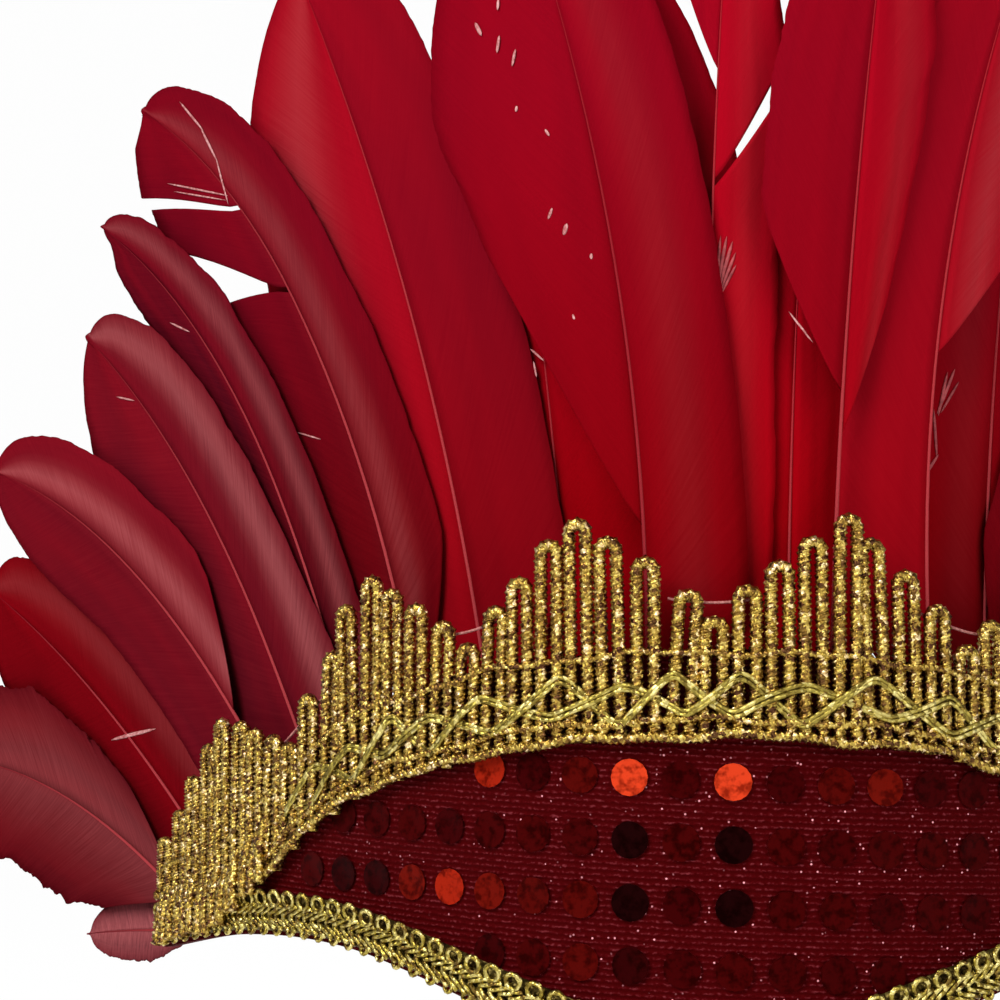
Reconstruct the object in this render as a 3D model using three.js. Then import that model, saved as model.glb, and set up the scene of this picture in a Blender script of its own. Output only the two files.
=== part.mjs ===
// Feather headdress: a curved brow panel with gold braids, a fan of red feathers behind it
// and an elastic band round the back. Millimetres, +Z up, the brow faces -Y.
import * as THREE from 'three';

// Plan of the brow wall, measured along its middle from the centre of the forehead
const BROW_FRONT_Y = -80;
const NOSE_RADIUS = 75;
const NOSE_ANGLE = THREE.MathUtils.degToRad(30);
const SIDE_RADIUS = 230;
const SIDE_ANGLE = THREE.MathUtils.degToRad(46);
const NOSE_LENGTH = NOSE_RADIUS * NOSE_ANGLE;
const CURVED_LENGTH = NOSE_LENGTH + SIDE_RADIUS * (SIDE_ANGLE - NOSE_ANGLE);

// Panel
const PANEL_HALF_LENGTH = 127.4;
const PANEL_HALF_WALL = 1.2;
const PANEL_HALF_COLUMNS = 36;
const PANEL_TOP_BEHIND_CROWN = 15;
const PIECE_GAP = 0.35;

// Lower edge of the panel: along, height
const LOWER_EDGE = [
  [0, -26.5],
  [8, -24.6],
  [16, -21.0],
  [24, -17.2],
  [42, -11.4],
  [56, -7.4],
  [68, -4.9],
  [82, -3.9],
  [96, -4.4],
  [108, -5.8],
  [127.4, -9.4],
];

// Foot line of the crown braid: along, height
const CROWN_FOOT = [
  [0, 31.2],
  [18, 30.5],
  [35, 28.7],
  [45, 26.3],
  [56, 23.9],
  [68, 19.9],
  [81, 12.4],
  [90, 5.8],
  [105, -3.0],
  [127.4, -9.2],
];

// Crown braid: upright loops whose height rises and falls in scallops
const LOOP_PITCH = 5.2;
const LOOPS_PER_HALF = 24;
const LOOPS_PER_SCALLOP = 8;
const LOOP_HEIGHTS = [20.4, 25.4, 29.8, 34.4, 37.6];
const LOOP_SHOULDER_DROP = 0.7;
const LOOP_NOTCH_DROP = 2.6;
const LOOP_SHOULDER_AT = 0.3;
const CROWN_THICKNESS = 2.4;

// Edge braid: a domed gimp along the lower edge
const EDGE_WIDTH = 8.3;
const EDGE_RIM_THICKNESS = 1.2;
const EDGE_CROWN_THICKNESS = 2.4;
const EDGE_HALF_COLUMNS = 36;

// Feathers: thin blades in layers behind the panel
const FEATHER_THICKNESS = 1.6;
const LAYER_PITCH = 2.4;
const QUILL_HALF_WIDTH = 1.1;
const TIP_HALF_WIDTH = 0.8;
const VANE_START = 0.04;
const VANE_FULL = 0.18;
const VANE_SWELL = 0.6;
const TIP_START = 0.64;
const TIP_ROUNDING = 2.4;
const FEATHER_STATIONS = [0, 0.05, 0.1, 0.18, 0.26, 0.4, 0.48, 0.56, 0.7, 0.82, 0.92, 0.97, 1];
const FEATHER_ACROSS = [-1, -0.5, 0, 0.5, 1];
const SHAFT_STEPS = 40;

// Quill end along and height, lean at quill and at tip in degrees, length,
// half width on the left and on the right, layer behind the panel
const FEATHERS = [
  [-117, -6.5, -92, -104, 52, 3.5, 4.5, 1],
  [-117, -5, -64, -93, 124, 18, 14, 0],
  [-112, 2, -51, -69, 124, 22, 16, 1],
  [-86.5, 14, -41, -77, 150, 17.5, 14.5, 0],
  [-79.5, 14, -27, -58.5, 141, 25, 15.5, 1],
  [-72.5, 16.5, -15, -63, 164, 11, 10, 2],
  [-62, 34, -11.5, -62.5, 168, 23, 14, 3],
  [-58, 28, -9, -34, 127, 14, 14, 5],
  [-46, 29.5, -9, -33, 165, 39.5, 22, 4],
  [-29, 26, -3, -12, 110, 6, 22, 5],
  [-12, 24.5, 3.5, -21.5, 164, 33, 14, 1],
  [3, 27, 8, -26, 145, 16, 10, 4],
  [-0.5, 29.5, -1, 5, 153, 10, 11, 2],
  [19.5, 31.5, 1.5, 9, 148, 16.5, 14.5, 0],
  [14, 26, 0, 5, 100, 12, 14, 3],
  [40.5, 30.5, -5.5, 26, 151, 17, 17, 1],
  [57, 25, 0, 16, 164, 20, 22, 4],
  [58, 28, 8, 36, 130, 14, 14, 5],
  [62.5, 33, 11, 60, 166, 15, 23, 3],
  [73, 17, 16, 61, 160, 10.5, 12, 2],
  [80, 14, 28, 57, 140, 16, 22, 1],
  [87, 14, 41, 75, 147, 15, 16, 0],
  [112, 2, 52, 70, 120, 16, 20, 1],
  [117, -5, 65, 90, 122, 14, 18, 0],
  [117, -6.5, 93, 102, 50, 4.5, 3.5, 1],
];

// Vanes that begin higher on the shaft: feather, side, parts of the shaft where it begins and is full
const LATE_VANES = [
  [4, 'right', 0.2, 0.41],
  [11, 'left', 0.25, 0.8],
  [13, 'left', 0.74, 0.89],
  [14, 'left', 0.38, 0.6],
  [14, 'right', 0.33, 0.82],
  [16, 'right', 0.43, 0.55],
  [22, 'left', 0.2, 0.41],
];

// Elastic band from one end of the panel to the other, round the back of the head
const ELASTIC_WIDTH = 12;
const ELASTIC_THICKNESS = 1.2;
const ELASTIC_LAP = 14;
const ELASTIC_RUN_ON = 5;
const ELASTIC_COLUMNS = 56;
const LAYERS_UNDER_ELASTIC = 2;
// Right half of its plan: across, back
const ELASTIC_PLAN = [
  [104, 14],
  [94, 46],
  [70, 68],
  [36, 79],
];
const ELASTIC_BACK_Y = 82;

const COLOURS = {
  panel: { color: 0x4a0810, roughness: 0.75, metalness: 0 },
  gold: { color: 0xa58c2d, roughness: 0.35, metalness: 0.9 },
  feather: { color: 0x8c0612, roughness: 0.6, metalness: 0 },
  elastic: { color: 0x17161a, roughness: 0.85, metalness: 0 },
};

// A point of the wall: along the brow, up, and out from the wall's middle
function wallPoint(along, up, out) {
  const side = along < 0 ? -1 : 1;
  const length = Math.abs(along);
  const noseTurn = Math.min(length / NOSE_RADIUS, NOSE_ANGLE);
  const sideLength = Math.min(Math.max(length - NOSE_LENGTH, 0), CURVED_LENGTH - NOSE_LENGTH);
  const turn = noseTurn + sideLength / SIDE_RADIUS;
  const straight = Math.max(length - CURVED_LENGTH, 0);
  const across = NOSE_RADIUS * Math.sin(noseTurn)
    + SIDE_RADIUS * (Math.sin(turn) - Math.sin(noseTurn))
    + straight * Math.cos(turn);
  const back = NOSE_RADIUS * (1 - Math.cos(noseTurn))
    + SIDE_RADIUS * (Math.cos(noseTurn) - Math.cos(turn))
    + straight * Math.sin(turn);
  const x = side * (across + out * Math.sin(turn));
  const y = BROW_FRONT_Y + back - out * Math.cos(turn);
  return new THREE.Vector3(x, y, up);
}

// Height and slope of a mirrored table at a place along the brow, by smooth Hermite pieces
function heightAt(table, along) {
  const length = Math.min(Math.abs(along), table[table.length - 1][0]);
  let row = 0;
  while (row < table.length - 2 && length > table[row + 1][0]) row += 1;
  const slopeOf = (index) => {
    if (index === 0) return 0;
    const before = table[index - 1];
    const after = table[Math.min(index + 1, table.length - 1)];
    return (after[1] - before[1]) / (after[0] - before[0]);
  };
  const [startAlong, startHeight] = table[row];
  const [endAlong, endHeight] = table[row + 1];
  const span = endAlong - startAlong;
  const part = (length - startAlong) / span;
  const blend = part * part * (3 - 2 * part);
  const startPull = span * slopeOf(row) * part * (1 - part) * (1 - part);
  const endPull = span * slopeOf(row + 1) * part * part * (1 - part);
  return startHeight + (endHeight - startHeight) * blend + startPull - endPull;
}

function slopeAt(table, along) {
  const step = 0.5;
  return (heightAt(table, along + step) - heightAt(table, along - step)) / (2 * step);
}

// Height of the edge braid's upper line above the lower edge, measured upright
function edgeRise(along) {
  return EDGE_WIDTH * Math.hypot(1, slopeAt(LOWER_EDGE, along));
}

// One closed body from rows of front and back points; front faces away from the head
function closedSheet(stations) {
  const rows = stations[0].length;
  const count = stations.length * rows;
  const positions = [];
  for (const face of ['front', 'back']) {
    for (const station of stations) {
      for (const point of station) positions.push(...point[face].toArray());
    }
  }
  const front = (station, row) => station * rows + row;
  const back = (station, row) => count + station * rows + row;
  const index = [];
  const quad = (a, b, c, d) => index.push(a, b, c, a, c, d);
  const last = stations.length - 1;
  for (let station = 0; station < last; station += 1) {
    const next = station + 1;
    for (let row = 0; row < rows - 1; row += 1) {
      quad(front(station, row), front(next, row), front(next, row + 1), front(station, row + 1));
      quad(back(station, row), back(station, row + 1), back(next, row + 1), back(next, row));
    }
    quad(front(station, 0), back(station, 0), back(next, 0), front(next, 0));
    quad(front(station, rows - 1), front(next, rows - 1), back(next, rows - 1), back(station, rows - 1));
  }
  for (let row = 0; row < rows - 1; row += 1) {
    quad(front(0, row), front(0, row + 1), back(0, row + 1), back(0, row));
    quad(front(last, row), back(last, row), back(last, row + 1), front(last, row + 1));
  }
  const geometry = new THREE.BufferGeometry();
  geometry.setAttribute('position', new THREE.Float32BufferAttribute(positions, 3));
  geometry.setIndex(index);
  geometry.computeVertexNormals();
  return geometry;
}

// A front and back pair of wall points
function wallPair(along, up, frontOut, backOut) {
  return { front: wallPoint(along, up, frontOut), back: wallPoint(along, up, backOut) };
}

function panelGeometry() {
  const stations = [];
  for (let column = -PANEL_HALF_COLUMNS; column <= PANEL_HALF_COLUMNS; column += 1) {
    const along = (PANEL_HALF_LENGTH * column) / PANEL_HALF_COLUMNS;
    const low = heightAt(LOWER_EDGE, along);
    const high = heightAt(CROWN_FOOT, along) + PANEL_TOP_BEHIND_CROWN;
    stations.push([low, high].map((up) => wallPair(along, up, PANEL_HALF_WALL, -PANEL_HALF_WALL)));
  }
  return closedSheet(stations);
}

// Top of a loop of the crown braid, counted from the one at the middle
function loopTop(loop) {
  const inScallop = Math.abs(loop) % LOOPS_PER_SCALLOP;
  const fromValley = Math.min(inScallop, LOOPS_PER_SCALLOP - inScallop);
  return heightAt(CROWN_FOOT, loop * LOOP_PITCH) + LOOP_HEIGHTS[fromValley];
}

function crownGeometry() {
  const backOut = PANEL_HALF_WALL + PIECE_GAP;
  const frontOut = backOut + CROWN_THICKNESS;
  const stations = [];
  const addColumn = (along, high) => {
    const edgeLine = heightAt(LOWER_EDGE, along) + edgeRise(along) + PIECE_GAP;
    const low = Math.max(heightAt(CROWN_FOOT, along), edgeLine);
    stations.push([low, high].map((up) => wallPair(along, up, frontOut, backOut)));
  };
  for (let loop = -LOOPS_PER_HALF; loop <= LOOPS_PER_HALF; loop += 1) {
    const middle = loop * LOOP_PITCH;
    const top = loopTop(loop);
    const shoulder = LOOP_PITCH * LOOP_SHOULDER_AT;
    const before = loop === -LOOPS_PER_HALF ? top : Math.min(top, loopTop(loop - 1));
    addColumn(middle - LOOP_PITCH / 2, before - LOOP_NOTCH_DROP);
    addColumn(middle - shoulder, top - LOOP_SHOULDER_DROP);
    addColumn(middle, top);
    addColumn(middle + shoulder, top - LOOP_SHOULDER_DROP);
  }
  const endAlong = (LOOPS_PER_HALF + 0.5) * LOOP_PITCH;
  addColumn(endAlong, loopTop(LOOPS_PER_HALF) - LOOP_NOTCH_DROP);
  return closedSheet(stations);
}

function edgeGeometry() {
  const backOut = PANEL_HALF_WALL + PIECE_GAP;
  const rimOut = backOut + EDGE_RIM_THICKNESS;
  const crownOut = backOut + EDGE_CROWN_THICKNESS;
  const stations = [];
  for (let column = -EDGE_HALF_COLUMNS; column <= EDGE_HALF_COLUMNS; column += 1) {
    const along = (PANEL_HALF_LENGTH * column) / EDGE_HALF_COLUMNS;
    const low = heightAt(LOWER_EDGE, along);
    const rise = edgeRise(along);
    stations.push([
      wallPair(along, low, rimOut, backOut),
      wallPair(along, low + rise / 2, crownOut, backOut),
      wallPair(along, low + rise, rimOut, backOut),
    ]);
  }
  return closedSheet(stations);
}

// Half width of a vane as a share of its widest, along the shaft
function vaneShare(part, start, full) {
  const swell = THREE.MathUtils.clamp((part - start) / (full - start), 0, 1) ** VANE_SWELL;
  const tip = Math.max(0, (part - TIP_START) / (1 - TIP_START));
  return swell * Math.sqrt(Math.max(0, 1 - tip ** TIP_ROUNDING));
}

// Where the vane of one side begins and where it is full
function vaneSpan(number, side) {
  const late = LATE_VANES.find((row) => row[0] === number && row[1] === side);
  return late ? late.slice(2) : [VANE_START, VANE_FULL];
}

// Place and lean of the shaft at a part of its length
function shaftAt(feather, part) {
  const [along, height, quillLean, tipLean, length] = feather;
  const leanAt = (share) => THREE.MathUtils.degToRad(quillLean + (tipLean - quillLean) * share);
  const place = new THREE.Vector2(along, height);
  const step = part / SHAFT_STEPS;
  for (let count = 0; count < SHAFT_STEPS; count += 1) {
    const lean = leanAt(step * (count + 0.5));
    place.x += Math.sin(lean) * length * step;
    place.y += Math.cos(lean) * length * step;
  }
  return { place, lean: leanAt(part) };
}

function featherGeometry(feather, number) {
  const [leftWidth, rightWidth, layer] = feather.slice(5);
  const leftSpan = vaneSpan(number, 'left');
  const rightSpan = vaneSpan(number, 'right');
  const frontOut = -(PANEL_HALF_WALL + PIECE_GAP + layer * LAYER_PITCH);
  const backOut = frontOut - FEATHER_THICKNESS;
  const stations = FEATHER_STATIONS.map((part) => {
    const { place, lean } = shaftAt(feather, part);
    const least = part < TIP_START ? QUILL_HALF_WIDTH : TIP_HALF_WIDTH;
    return FEATHER_ACROSS.map((share) => {
      const width = share < 0
        ? rightWidth * vaneShare(part, ...rightSpan)
        : leftWidth * vaneShare(part, ...leftSpan);
      const reach = -share * Math.max(least, width);
      const along = place.x + Math.cos(lean) * reach;
      const up = place.y - Math.sin(lean) * reach;
      return wallPair(along, up, frontOut, backOut);
    });
  });
  return closedSheet(stations);
}

function elasticGeometry() {
  const underLayers = LAYERS_UNDER_ELASTIC * LAYER_PITCH - (LAYER_PITCH - FEATHER_THICKNESS);
  const out = -(PANEL_HALF_WALL + PIECE_GAP + underLayers + PIECE_GAP + ELASTIC_THICKNESS / 2);
  const lapAlong = [-ELASTIC_LAP, -ELASTIC_LAP / 2, 0, ELASTIC_RUN_ON];
  const lap = lapAlong.map((past) => wallPoint(PANEL_HALF_LENGTH + past, 0, out));
  const half = [...lap, ...ELASTIC_PLAN.map(([x, y]) => new THREE.Vector3(x, y, 0))];
  const mirrored = half.map((point) => new THREE.Vector3(-point.x, point.y, 0)).reverse();
  const path = new THREE.CatmullRomCurve3([...half, new THREE.Vector3(0, ELASTIC_BACK_Y, 0), ...mirrored]);
  const upright = new THREE.Vector3(0, 0, 1);
  const stations = [];
  for (let column = 0; column <= ELASTIC_COLUMNS; column += 1) {
    const place = path.getPointAt(column / ELASTIC_COLUMNS);
    const outward = path.getTangentAt(column / ELASTIC_COLUMNS).cross(upright).normalize();
    const pairAt = (up) => {
      const middle = place.clone().setZ(up);
      return {
        front: middle.clone().addScaledVector(outward, ELASTIC_THICKNESS / 2),
        back: middle.clone().addScaledVector(outward, -ELASTIC_THICKNESS / 2),
      };
    };
    stations.push([-ELASTIC_WIDTH / 2, ELASTIC_WIDTH / 2].map(pairAt));
  }
  return closedSheet(stations);
}

function namedMesh(name, geometry, finish) {
  const mesh = new THREE.Mesh(geometry, new THREE.MeshStandardMaterial(finish));
  mesh.name = name;
  return mesh;
}

const headdress = new THREE.Group();
headdress.name = 'feather_headdress';
headdress.add(namedMesh('panel', panelGeometry(), COLOURS.panel));
headdress.add(namedMesh('crown_braid', crownGeometry(), COLOURS.gold));
headdress.add(namedMesh('edge_braid', edgeGeometry(), COLOURS.gold));
headdress.add(namedMesh('back_elastic', elasticGeometry(), COLOURS.elastic));
FEATHERS.forEach((feather, order) => {
  const number = order + 1;
  const name = `feather_${String(number).padStart(2, '0')}`;
  headdress.add(namedMesh(name, featherGeometry(feather, number), COLOURS.feather));
});

export default headdress;
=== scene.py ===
# %% [markdown]
# # A feather headdress, dressed in Blender
# The real thing is a costume crown: a stiff brow panel covered in sequined knit, trimmed with gold
# braid above and below, with a fan of dyed goose feathers sewn behind it and an elastic round the
# back. The CAD frame gives each of these as a plain solid. Here each solid is replaced by a piece
# that looks like the real material. The frame is loaded first, and its parts are kept so that their
# boxes can be read.

# %% Load the frame
import math
from collections import namedtuple

import bpy
import numpy as np
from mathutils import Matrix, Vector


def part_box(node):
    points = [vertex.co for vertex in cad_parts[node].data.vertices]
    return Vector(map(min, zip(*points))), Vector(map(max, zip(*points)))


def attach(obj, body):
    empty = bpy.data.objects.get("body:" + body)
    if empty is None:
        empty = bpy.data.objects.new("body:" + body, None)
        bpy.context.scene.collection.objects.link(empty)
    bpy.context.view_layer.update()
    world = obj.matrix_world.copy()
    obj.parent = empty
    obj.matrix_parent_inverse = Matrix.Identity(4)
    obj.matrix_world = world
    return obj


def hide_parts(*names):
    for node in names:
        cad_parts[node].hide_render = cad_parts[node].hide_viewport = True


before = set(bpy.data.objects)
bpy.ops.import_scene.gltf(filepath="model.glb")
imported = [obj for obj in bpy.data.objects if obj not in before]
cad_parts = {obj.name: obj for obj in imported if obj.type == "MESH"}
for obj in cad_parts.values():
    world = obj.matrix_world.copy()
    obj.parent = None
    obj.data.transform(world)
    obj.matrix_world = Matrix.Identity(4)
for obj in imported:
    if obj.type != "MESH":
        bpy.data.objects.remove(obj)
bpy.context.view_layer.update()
MM = 0.001

# %% [markdown]
# Operators act on whatever is selected, and loading leaves the whole frame selected. So a few small
# helpers come first: one picks a piece and nothing else, and the others apply what was done to it.
# Applying matters, because a finished piece keeps its place in its mesh and its object at the origin.


# %% Helpers for picking and applying
def pick(*pieces):
    bpy.ops.object.select_all(action="DESELECT")
    for piece in pieces:
        piece.select_set(True)
    bpy.context.view_layer.objects.active = pieces[0]


def added(name):
    piece = bpy.context.object
    piece.name = name
    piece.data.name = name
    return piece


def apply_modifiers(piece):
    pick(piece)
    for modifier in list(piece.modifiers):
        bpy.ops.object.modifier_apply(modifier=modifier.name)


def apply_place(piece):
    pick(piece)
    bpy.ops.object.transform_apply(location=True, rotation=True, scale=True)


def own_copy(piece, name):
    twin = piece.copy()
    twin.data = piece.data.copy()
    twin.name = name
    bpy.context.scene.collection.objects.link(twin)
    return twin


def join(pieces, name):
    pick(*pieces)
    bpy.ops.object.join()
    return added(name)


def points_of(piece):
    places = np.empty(len(piece.data.vertices) * 3)
    piece.data.vertices.foreach_get("co", places)
    return places.reshape(-1, 3)


def set_points(piece, places):
    piece.data.vertices.foreach_set("co", np.ascontiguousarray(places, dtype=float).ravel())
    piece.data.update()


def flat_grid(name, columns, rows):
    bpy.ops.object.select_all(action="DESELECT")
    bpy.ops.mesh.primitive_grid_add(x_subdivisions=columns, y_subdivisions=rows, size=1)
    return added(name)


def thicken(piece, thickness, offset):
    wall = piece.modifiers.new("wall", "SOLIDIFY")
    wall.thickness = thickness
    wall.offset = offset
    apply_modifiers(piece)


def smooth(piece, angle=None):
    pick(piece)
    if angle is None:
        bpy.ops.object.shade_smooth()
    else:
        bpy.ops.object.shade_smooth_by_angle(angle=math.radians(angle))


def triangle_count(piece):
    return sum(len(face.vertices) - 2 for face in piece.data.polygons)


# %% [markdown]
# The brow panel is a flat pattern bent round the forehead, and so is everything sewn to it. Each
# piece is therefore made flat, X along the brow and Z up, and bent afterwards by a Curve modifier
# on one guide line. The guide has the plan of the frame: a tight round front, wider round sides and
# straight ends. A pattern is laid on the guide by its length, so nothing stretches.

# %% The guide line of the brow
BROW_FRONT_Y = -80 * MM
NOSE_RADIUS = 75 * MM
NOSE_ANGLE = math.radians(30)
SIDE_RADIUS = 230 * MM
SIDE_ANGLE = math.radians(46)
NOSE_LENGTH = NOSE_RADIUS * NOSE_ANGLE
CURVED_LENGTH = NOSE_LENGTH + SIDE_RADIUS * (SIDE_ANGLE - NOSE_ANGLE)
GUIDE_REACH = 280 * MM
GUIDE_STEPS = 280


def brow_point(along):
    length = abs(along)
    nose_turn = min(length / NOSE_RADIUS, NOSE_ANGLE)
    side_length = min(max(length - NOSE_LENGTH, 0), CURVED_LENGTH - NOSE_LENGTH)
    turn = nose_turn + side_length / SIDE_RADIUS
    straight = max(length - CURVED_LENGTH, 0)
    nose_across = NOSE_RADIUS * math.sin(nose_turn)
    side_across = SIDE_RADIUS * (math.sin(turn) - math.sin(nose_turn))
    nose_back = NOSE_RADIUS * (1 - math.cos(nose_turn))
    side_back = SIDE_RADIUS * (math.cos(nose_turn) - math.cos(turn))
    across = nose_across + side_across + straight * math.cos(turn)
    back = nose_back + side_back + straight * math.sin(turn)
    return math.copysign(across, along), BROW_FRONT_Y + back, 0.0


def guide_line(name, places, start=0.0):
    line = bpy.data.curves.new(name, "CURVE")
    line.dimensions = "3D"
    line.twist_mode = "Z_UP"
    spline = line.splines.new("POLY")
    spline.points.add(len(places) - 1)
    for point, (x, y, z) in zip(spline.points, places):
        point.co = (x - start, y, z, 1)
    guide = bpy.data.objects.new(name, line)
    guide.location.x = start
    bpy.context.scene.collection.objects.link(guide)
    return guide


def bend_along(piece, guide):
    bend = piece.modifiers.new("bend", "CURVE")
    bend.object = guide
    bend.deform_axis = "POS_X"
    apply_modifiers(piece)


def bend_on_line(piece, places):
    guide = guide_line(piece.name + "_guide", places)
    bend_along(piece, guide)
    bpy.data.objects.remove(guide)


brow_line = [brow_point(along) for along in np.linspace(-GUIDE_REACH, GUIDE_REACH, GUIDE_STEPS + 1)]
brow_guide = guide_line("brow_guide", brow_line, -GUIDE_REACH)


def stand_up(piece):
    piece.rotation_euler = (math.pi / 2, 0, 0)
    apply_place(piece)


def lay_on_brow(piece):
    stand_up(piece)
    bend_along(piece, brow_guide)


print("brow guide points", len(brow_line))

# %% [markdown]
# Two lines cross the flat pattern: the lower edge, with its V point over the nose, and the foot of
# the crown braid. A few measured heights are joined by smooth curves, mirrored about the middle.

# %% The lines of the pattern
PANEL_HALF_LENGTH = 127.4 * MM
PANEL_THICKNESS = 2.4 * MM
LOWER_EDGE = [
    (0, -26.5), (8, -24.6), (16, -21.0), (24, -17.2), (42, -11.4), (56, -7.4),
    (68, -4.9), (82, -3.9), (96, -4.4), (108, -5.8), (127.4, -9.4),
]
CROWN_FOOT = [
    (0, 31.2), (18, 30.5), (35, 28.7), (45, 26.3), (56, 23.9),
    (68, 19.9), (81, 12.4), (90, 5.8), (105, -3.0), (127.4, -9.2),
]
EDGE_WIDTH = 8.3 * MM


def line_height(line, along):
    places, heights = (np.array(column) * MM for column in zip(*line))
    slopes = np.zeros(len(places))
    slopes[1:-1] = (heights[2:] - heights[:-2]) / (places[2:] - places[:-2])
    slopes[-1] = (heights[-1] - heights[-2]) / (places[-1] - places[-2])
    length = np.clip(np.abs(along), 0, places[-1])
    row = np.clip(np.searchsorted(places, length, side="right") - 1, 0, len(places) - 2)
    span = places[row + 1] - places[row]
    part = (length - places[row]) / span
    blend = part * part * (3 - 2 * part)
    start_pull = span * slopes[row] * part * (1 - part) ** 2
    end_pull = span * slopes[row + 1] * part**2 * (1 - part)
    return heights[row] + (heights[row + 1] - heights[row]) * blend + start_pull - end_pull


def edge_rise(along):
    step = 0.5 * MM
    slope = (line_height(LOWER_EDGE, along + step) - line_height(LOWER_EDGE, along - step)) / (2 * step)
    return EDGE_WIDTH * np.hypot(1, slope)


print("V point", line_height(LOWER_EDGE, 0.0), "crown foot", line_height(CROWN_FOOT, 0.0))

# %% [markdown]
# Materials share a few effects, so each effect is a node group with named sockets. The first one is
# fibre grain: fine noise stretched along a thread, which shifts the colour and lifts the surface a
# little. Knit, feather, gold thread and elastic all use it at their own scale.


# %% Helpers for nodes and the fibre grain group
def new_node(tree, kind, **settings):
    node = tree.nodes.new(kind)
    for name, value in settings.items():
        setattr(node, name, value)
    return node


def set_inputs(node, **values):
    for name, value in values.items():
        node.inputs[name.replace("_", " ")].default_value = value


def make_group(name, inputs, outputs):
    tree = bpy.data.node_groups.new(name, "ShaderNodeTree")
    for socket, kind in inputs:
        tree.interface.new_socket(socket, in_out="INPUT", socket_type=kind)
    for socket, kind in outputs:
        tree.interface.new_socket(socket, in_out="OUTPUT", socket_type=kind)
    return tree, tree.nodes.new("NodeGroupInput"), tree.nodes.new("NodeGroupOutput")


def use_group(tree, group, **values):
    node = tree.nodes.new("ShaderNodeGroup")
    node.node_tree = group
    set_inputs(node, **values)
    return node


def link(tree, source, output, target, entry):
    tree.links.new(source.outputs[output], target.inputs[entry])


fibre_inputs = [("Vector", "NodeSocketVector"), ("Scale", "NodeSocketFloat"), ("Detail", "NodeSocketFloat")]
fibre_outputs = [("Shade", "NodeSocketFloat"), ("Height", "NodeSocketFloat")]
fibre_grain, fibre_in, fibre_out = make_group("fibre_grain", fibre_inputs, fibre_outputs)
fibre_noise = fibre_grain.nodes.new("ShaderNodeTexNoise")
fibre_noise.inputs["Roughness"].default_value = 0.62
link(fibre_grain, fibre_in, "Vector", fibre_noise, "Vector")
link(fibre_grain, fibre_in, "Scale", fibre_noise, "Scale")
link(fibre_grain, fibre_in, "Detail", fibre_noise, "Detail")
fibre_spread = fibre_grain.nodes.new("ShaderNodeMapRange")
set_inputs(fibre_spread, From_Min=0.3, From_Max=0.7)
link(fibre_grain, fibre_noise, "Fac", fibre_spread, "Value")
link(fibre_grain, fibre_spread, "Result", fibre_out, "Shade")
link(fibre_grain, fibre_noise, "Fac", fibre_out, "Height")


print("node group", fibre_grain.name)

# %% [markdown]
# The rest of a material is wiring that comes back in each one: a grain on some map, a ramp that turns
# a value into a colour, a mix, a sum, a roughness that varies and a bump. Each gets a small helper. A
# source is given as a node and the name of its output, and anything else is a fixed value.

# %% Helpers for materials
# Sockets of the Mix node when it mixes colours
MIX_SHARE, MIX_FIRST, MIX_SECOND, MIX_RESULT = 0, 6, 7, 2


def new_material(name):
    material = bpy.data.materials.new(name)
    material.use_nodes = True
    tree = material.node_tree
    return material, tree, tree.nodes["Principled BSDF"]


def feed(tree, node, entry, source):
    if isinstance(source, tuple) and len(source) == 2:
        link(tree, *source, node, entry)
    else:
        node.inputs[entry].default_value = source


def stretch_map(tree, cloth_map, scale):
    stretch = tree.nodes.new("ShaderNodeMapping")
    set_inputs(stretch, Scale=scale)
    link(tree, cloth_map, "UV", stretch, "Vector")
    return stretch


def grain_on(tree, source, output, scale, detail):
    grain = use_group(tree, fibre_grain, Scale=scale, Detail=detail)
    link(tree, source, output, grain, "Vector")
    return grain


def ramp_on(tree, source, output, stops):
    ramp = tree.nodes.new("ShaderNodeValToRGB")
    elements = ramp.color_ramp.elements
    elements[0].position, elements[0].color = stops[0][0], (*stops[0][1], 1)
    elements[1].position, elements[1].color = stops[-1][0], (*stops[-1][1], 1)
    for place, colour in stops[1:-1]:
        elements.new(place).color = (*colour, 1)
    link(tree, source, output, ramp, "Fac")
    return ramp


def math_on(tree, operation, *sources):
    node = new_node(tree, "ShaderNodeMath", operation=operation)
    for place, source in enumerate(sources):
        feed(tree, node, place, source)
    return node


def mix_on(tree, mode, share, first, second):
    node = new_node(tree, "ShaderNodeMix", data_type="RGBA", blend_type=mode)
    feed(tree, node, MIX_SHARE, share)
    feed(tree, node, MIX_FIRST, first)
    feed(tree, node, MIX_SECOND, second)
    return node


def range_on(tree, source, output, low, high):
    spread = new_node(tree, "ShaderNodeMapRange")
    set_inputs(spread, To_Min=low, To_Max=high)
    link(tree, source, output, spread, "Value")
    return spread


def roughen(tree, shader, source, output, smoothest, roughest):
    spread = range_on(tree, source, output, smoothest, roughest)
    link(tree, spread, "Result", shader, "Roughness")


def add_bump(tree, shader, source, output, strength, distance):
    bump = tree.nodes.new("ShaderNodeBump")
    set_inputs(bump, Strength=strength, Distance=distance)
    link(tree, source, output, bump, "Height")
    link(tree, bump, "Normal", shader, "Normal")
    return bump


print("mix sockets", MIX_SHARE, MIX_FIRST, MIX_SECOND, MIX_RESULT)

# %% [markdown]
# The cloth is a stretch knit in dark wine red with metallic specks knitted in. Knit shows as fine
# level ribs, about one to a millimetre. The ribs are a wave across the cloth's own map, which is laid
# out in the flat pattern so that the ribs stay level when the panel is bent. The specks are small
# cells, and a few of them get a bright colour that is a painted glint of the metallic thread.

# %% The sequin knit material
# More specks get a painted glint towards the right, by this much for each unit of the map
SPECK_GLINTS_TO_RIGHT = 0.03
# Colour of a painted glint on a metallic speck
SPECK_GLINT_COLOUR = (0.85, 0.32, 0.36, 1)
KNIT_STOPS = [(0.05, (0.042, 0.0006, 0.001)), (0.45, (0.058, 0.0012, 0.002)), (0.85, (0.14, 0.018, 0.023))]

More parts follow.
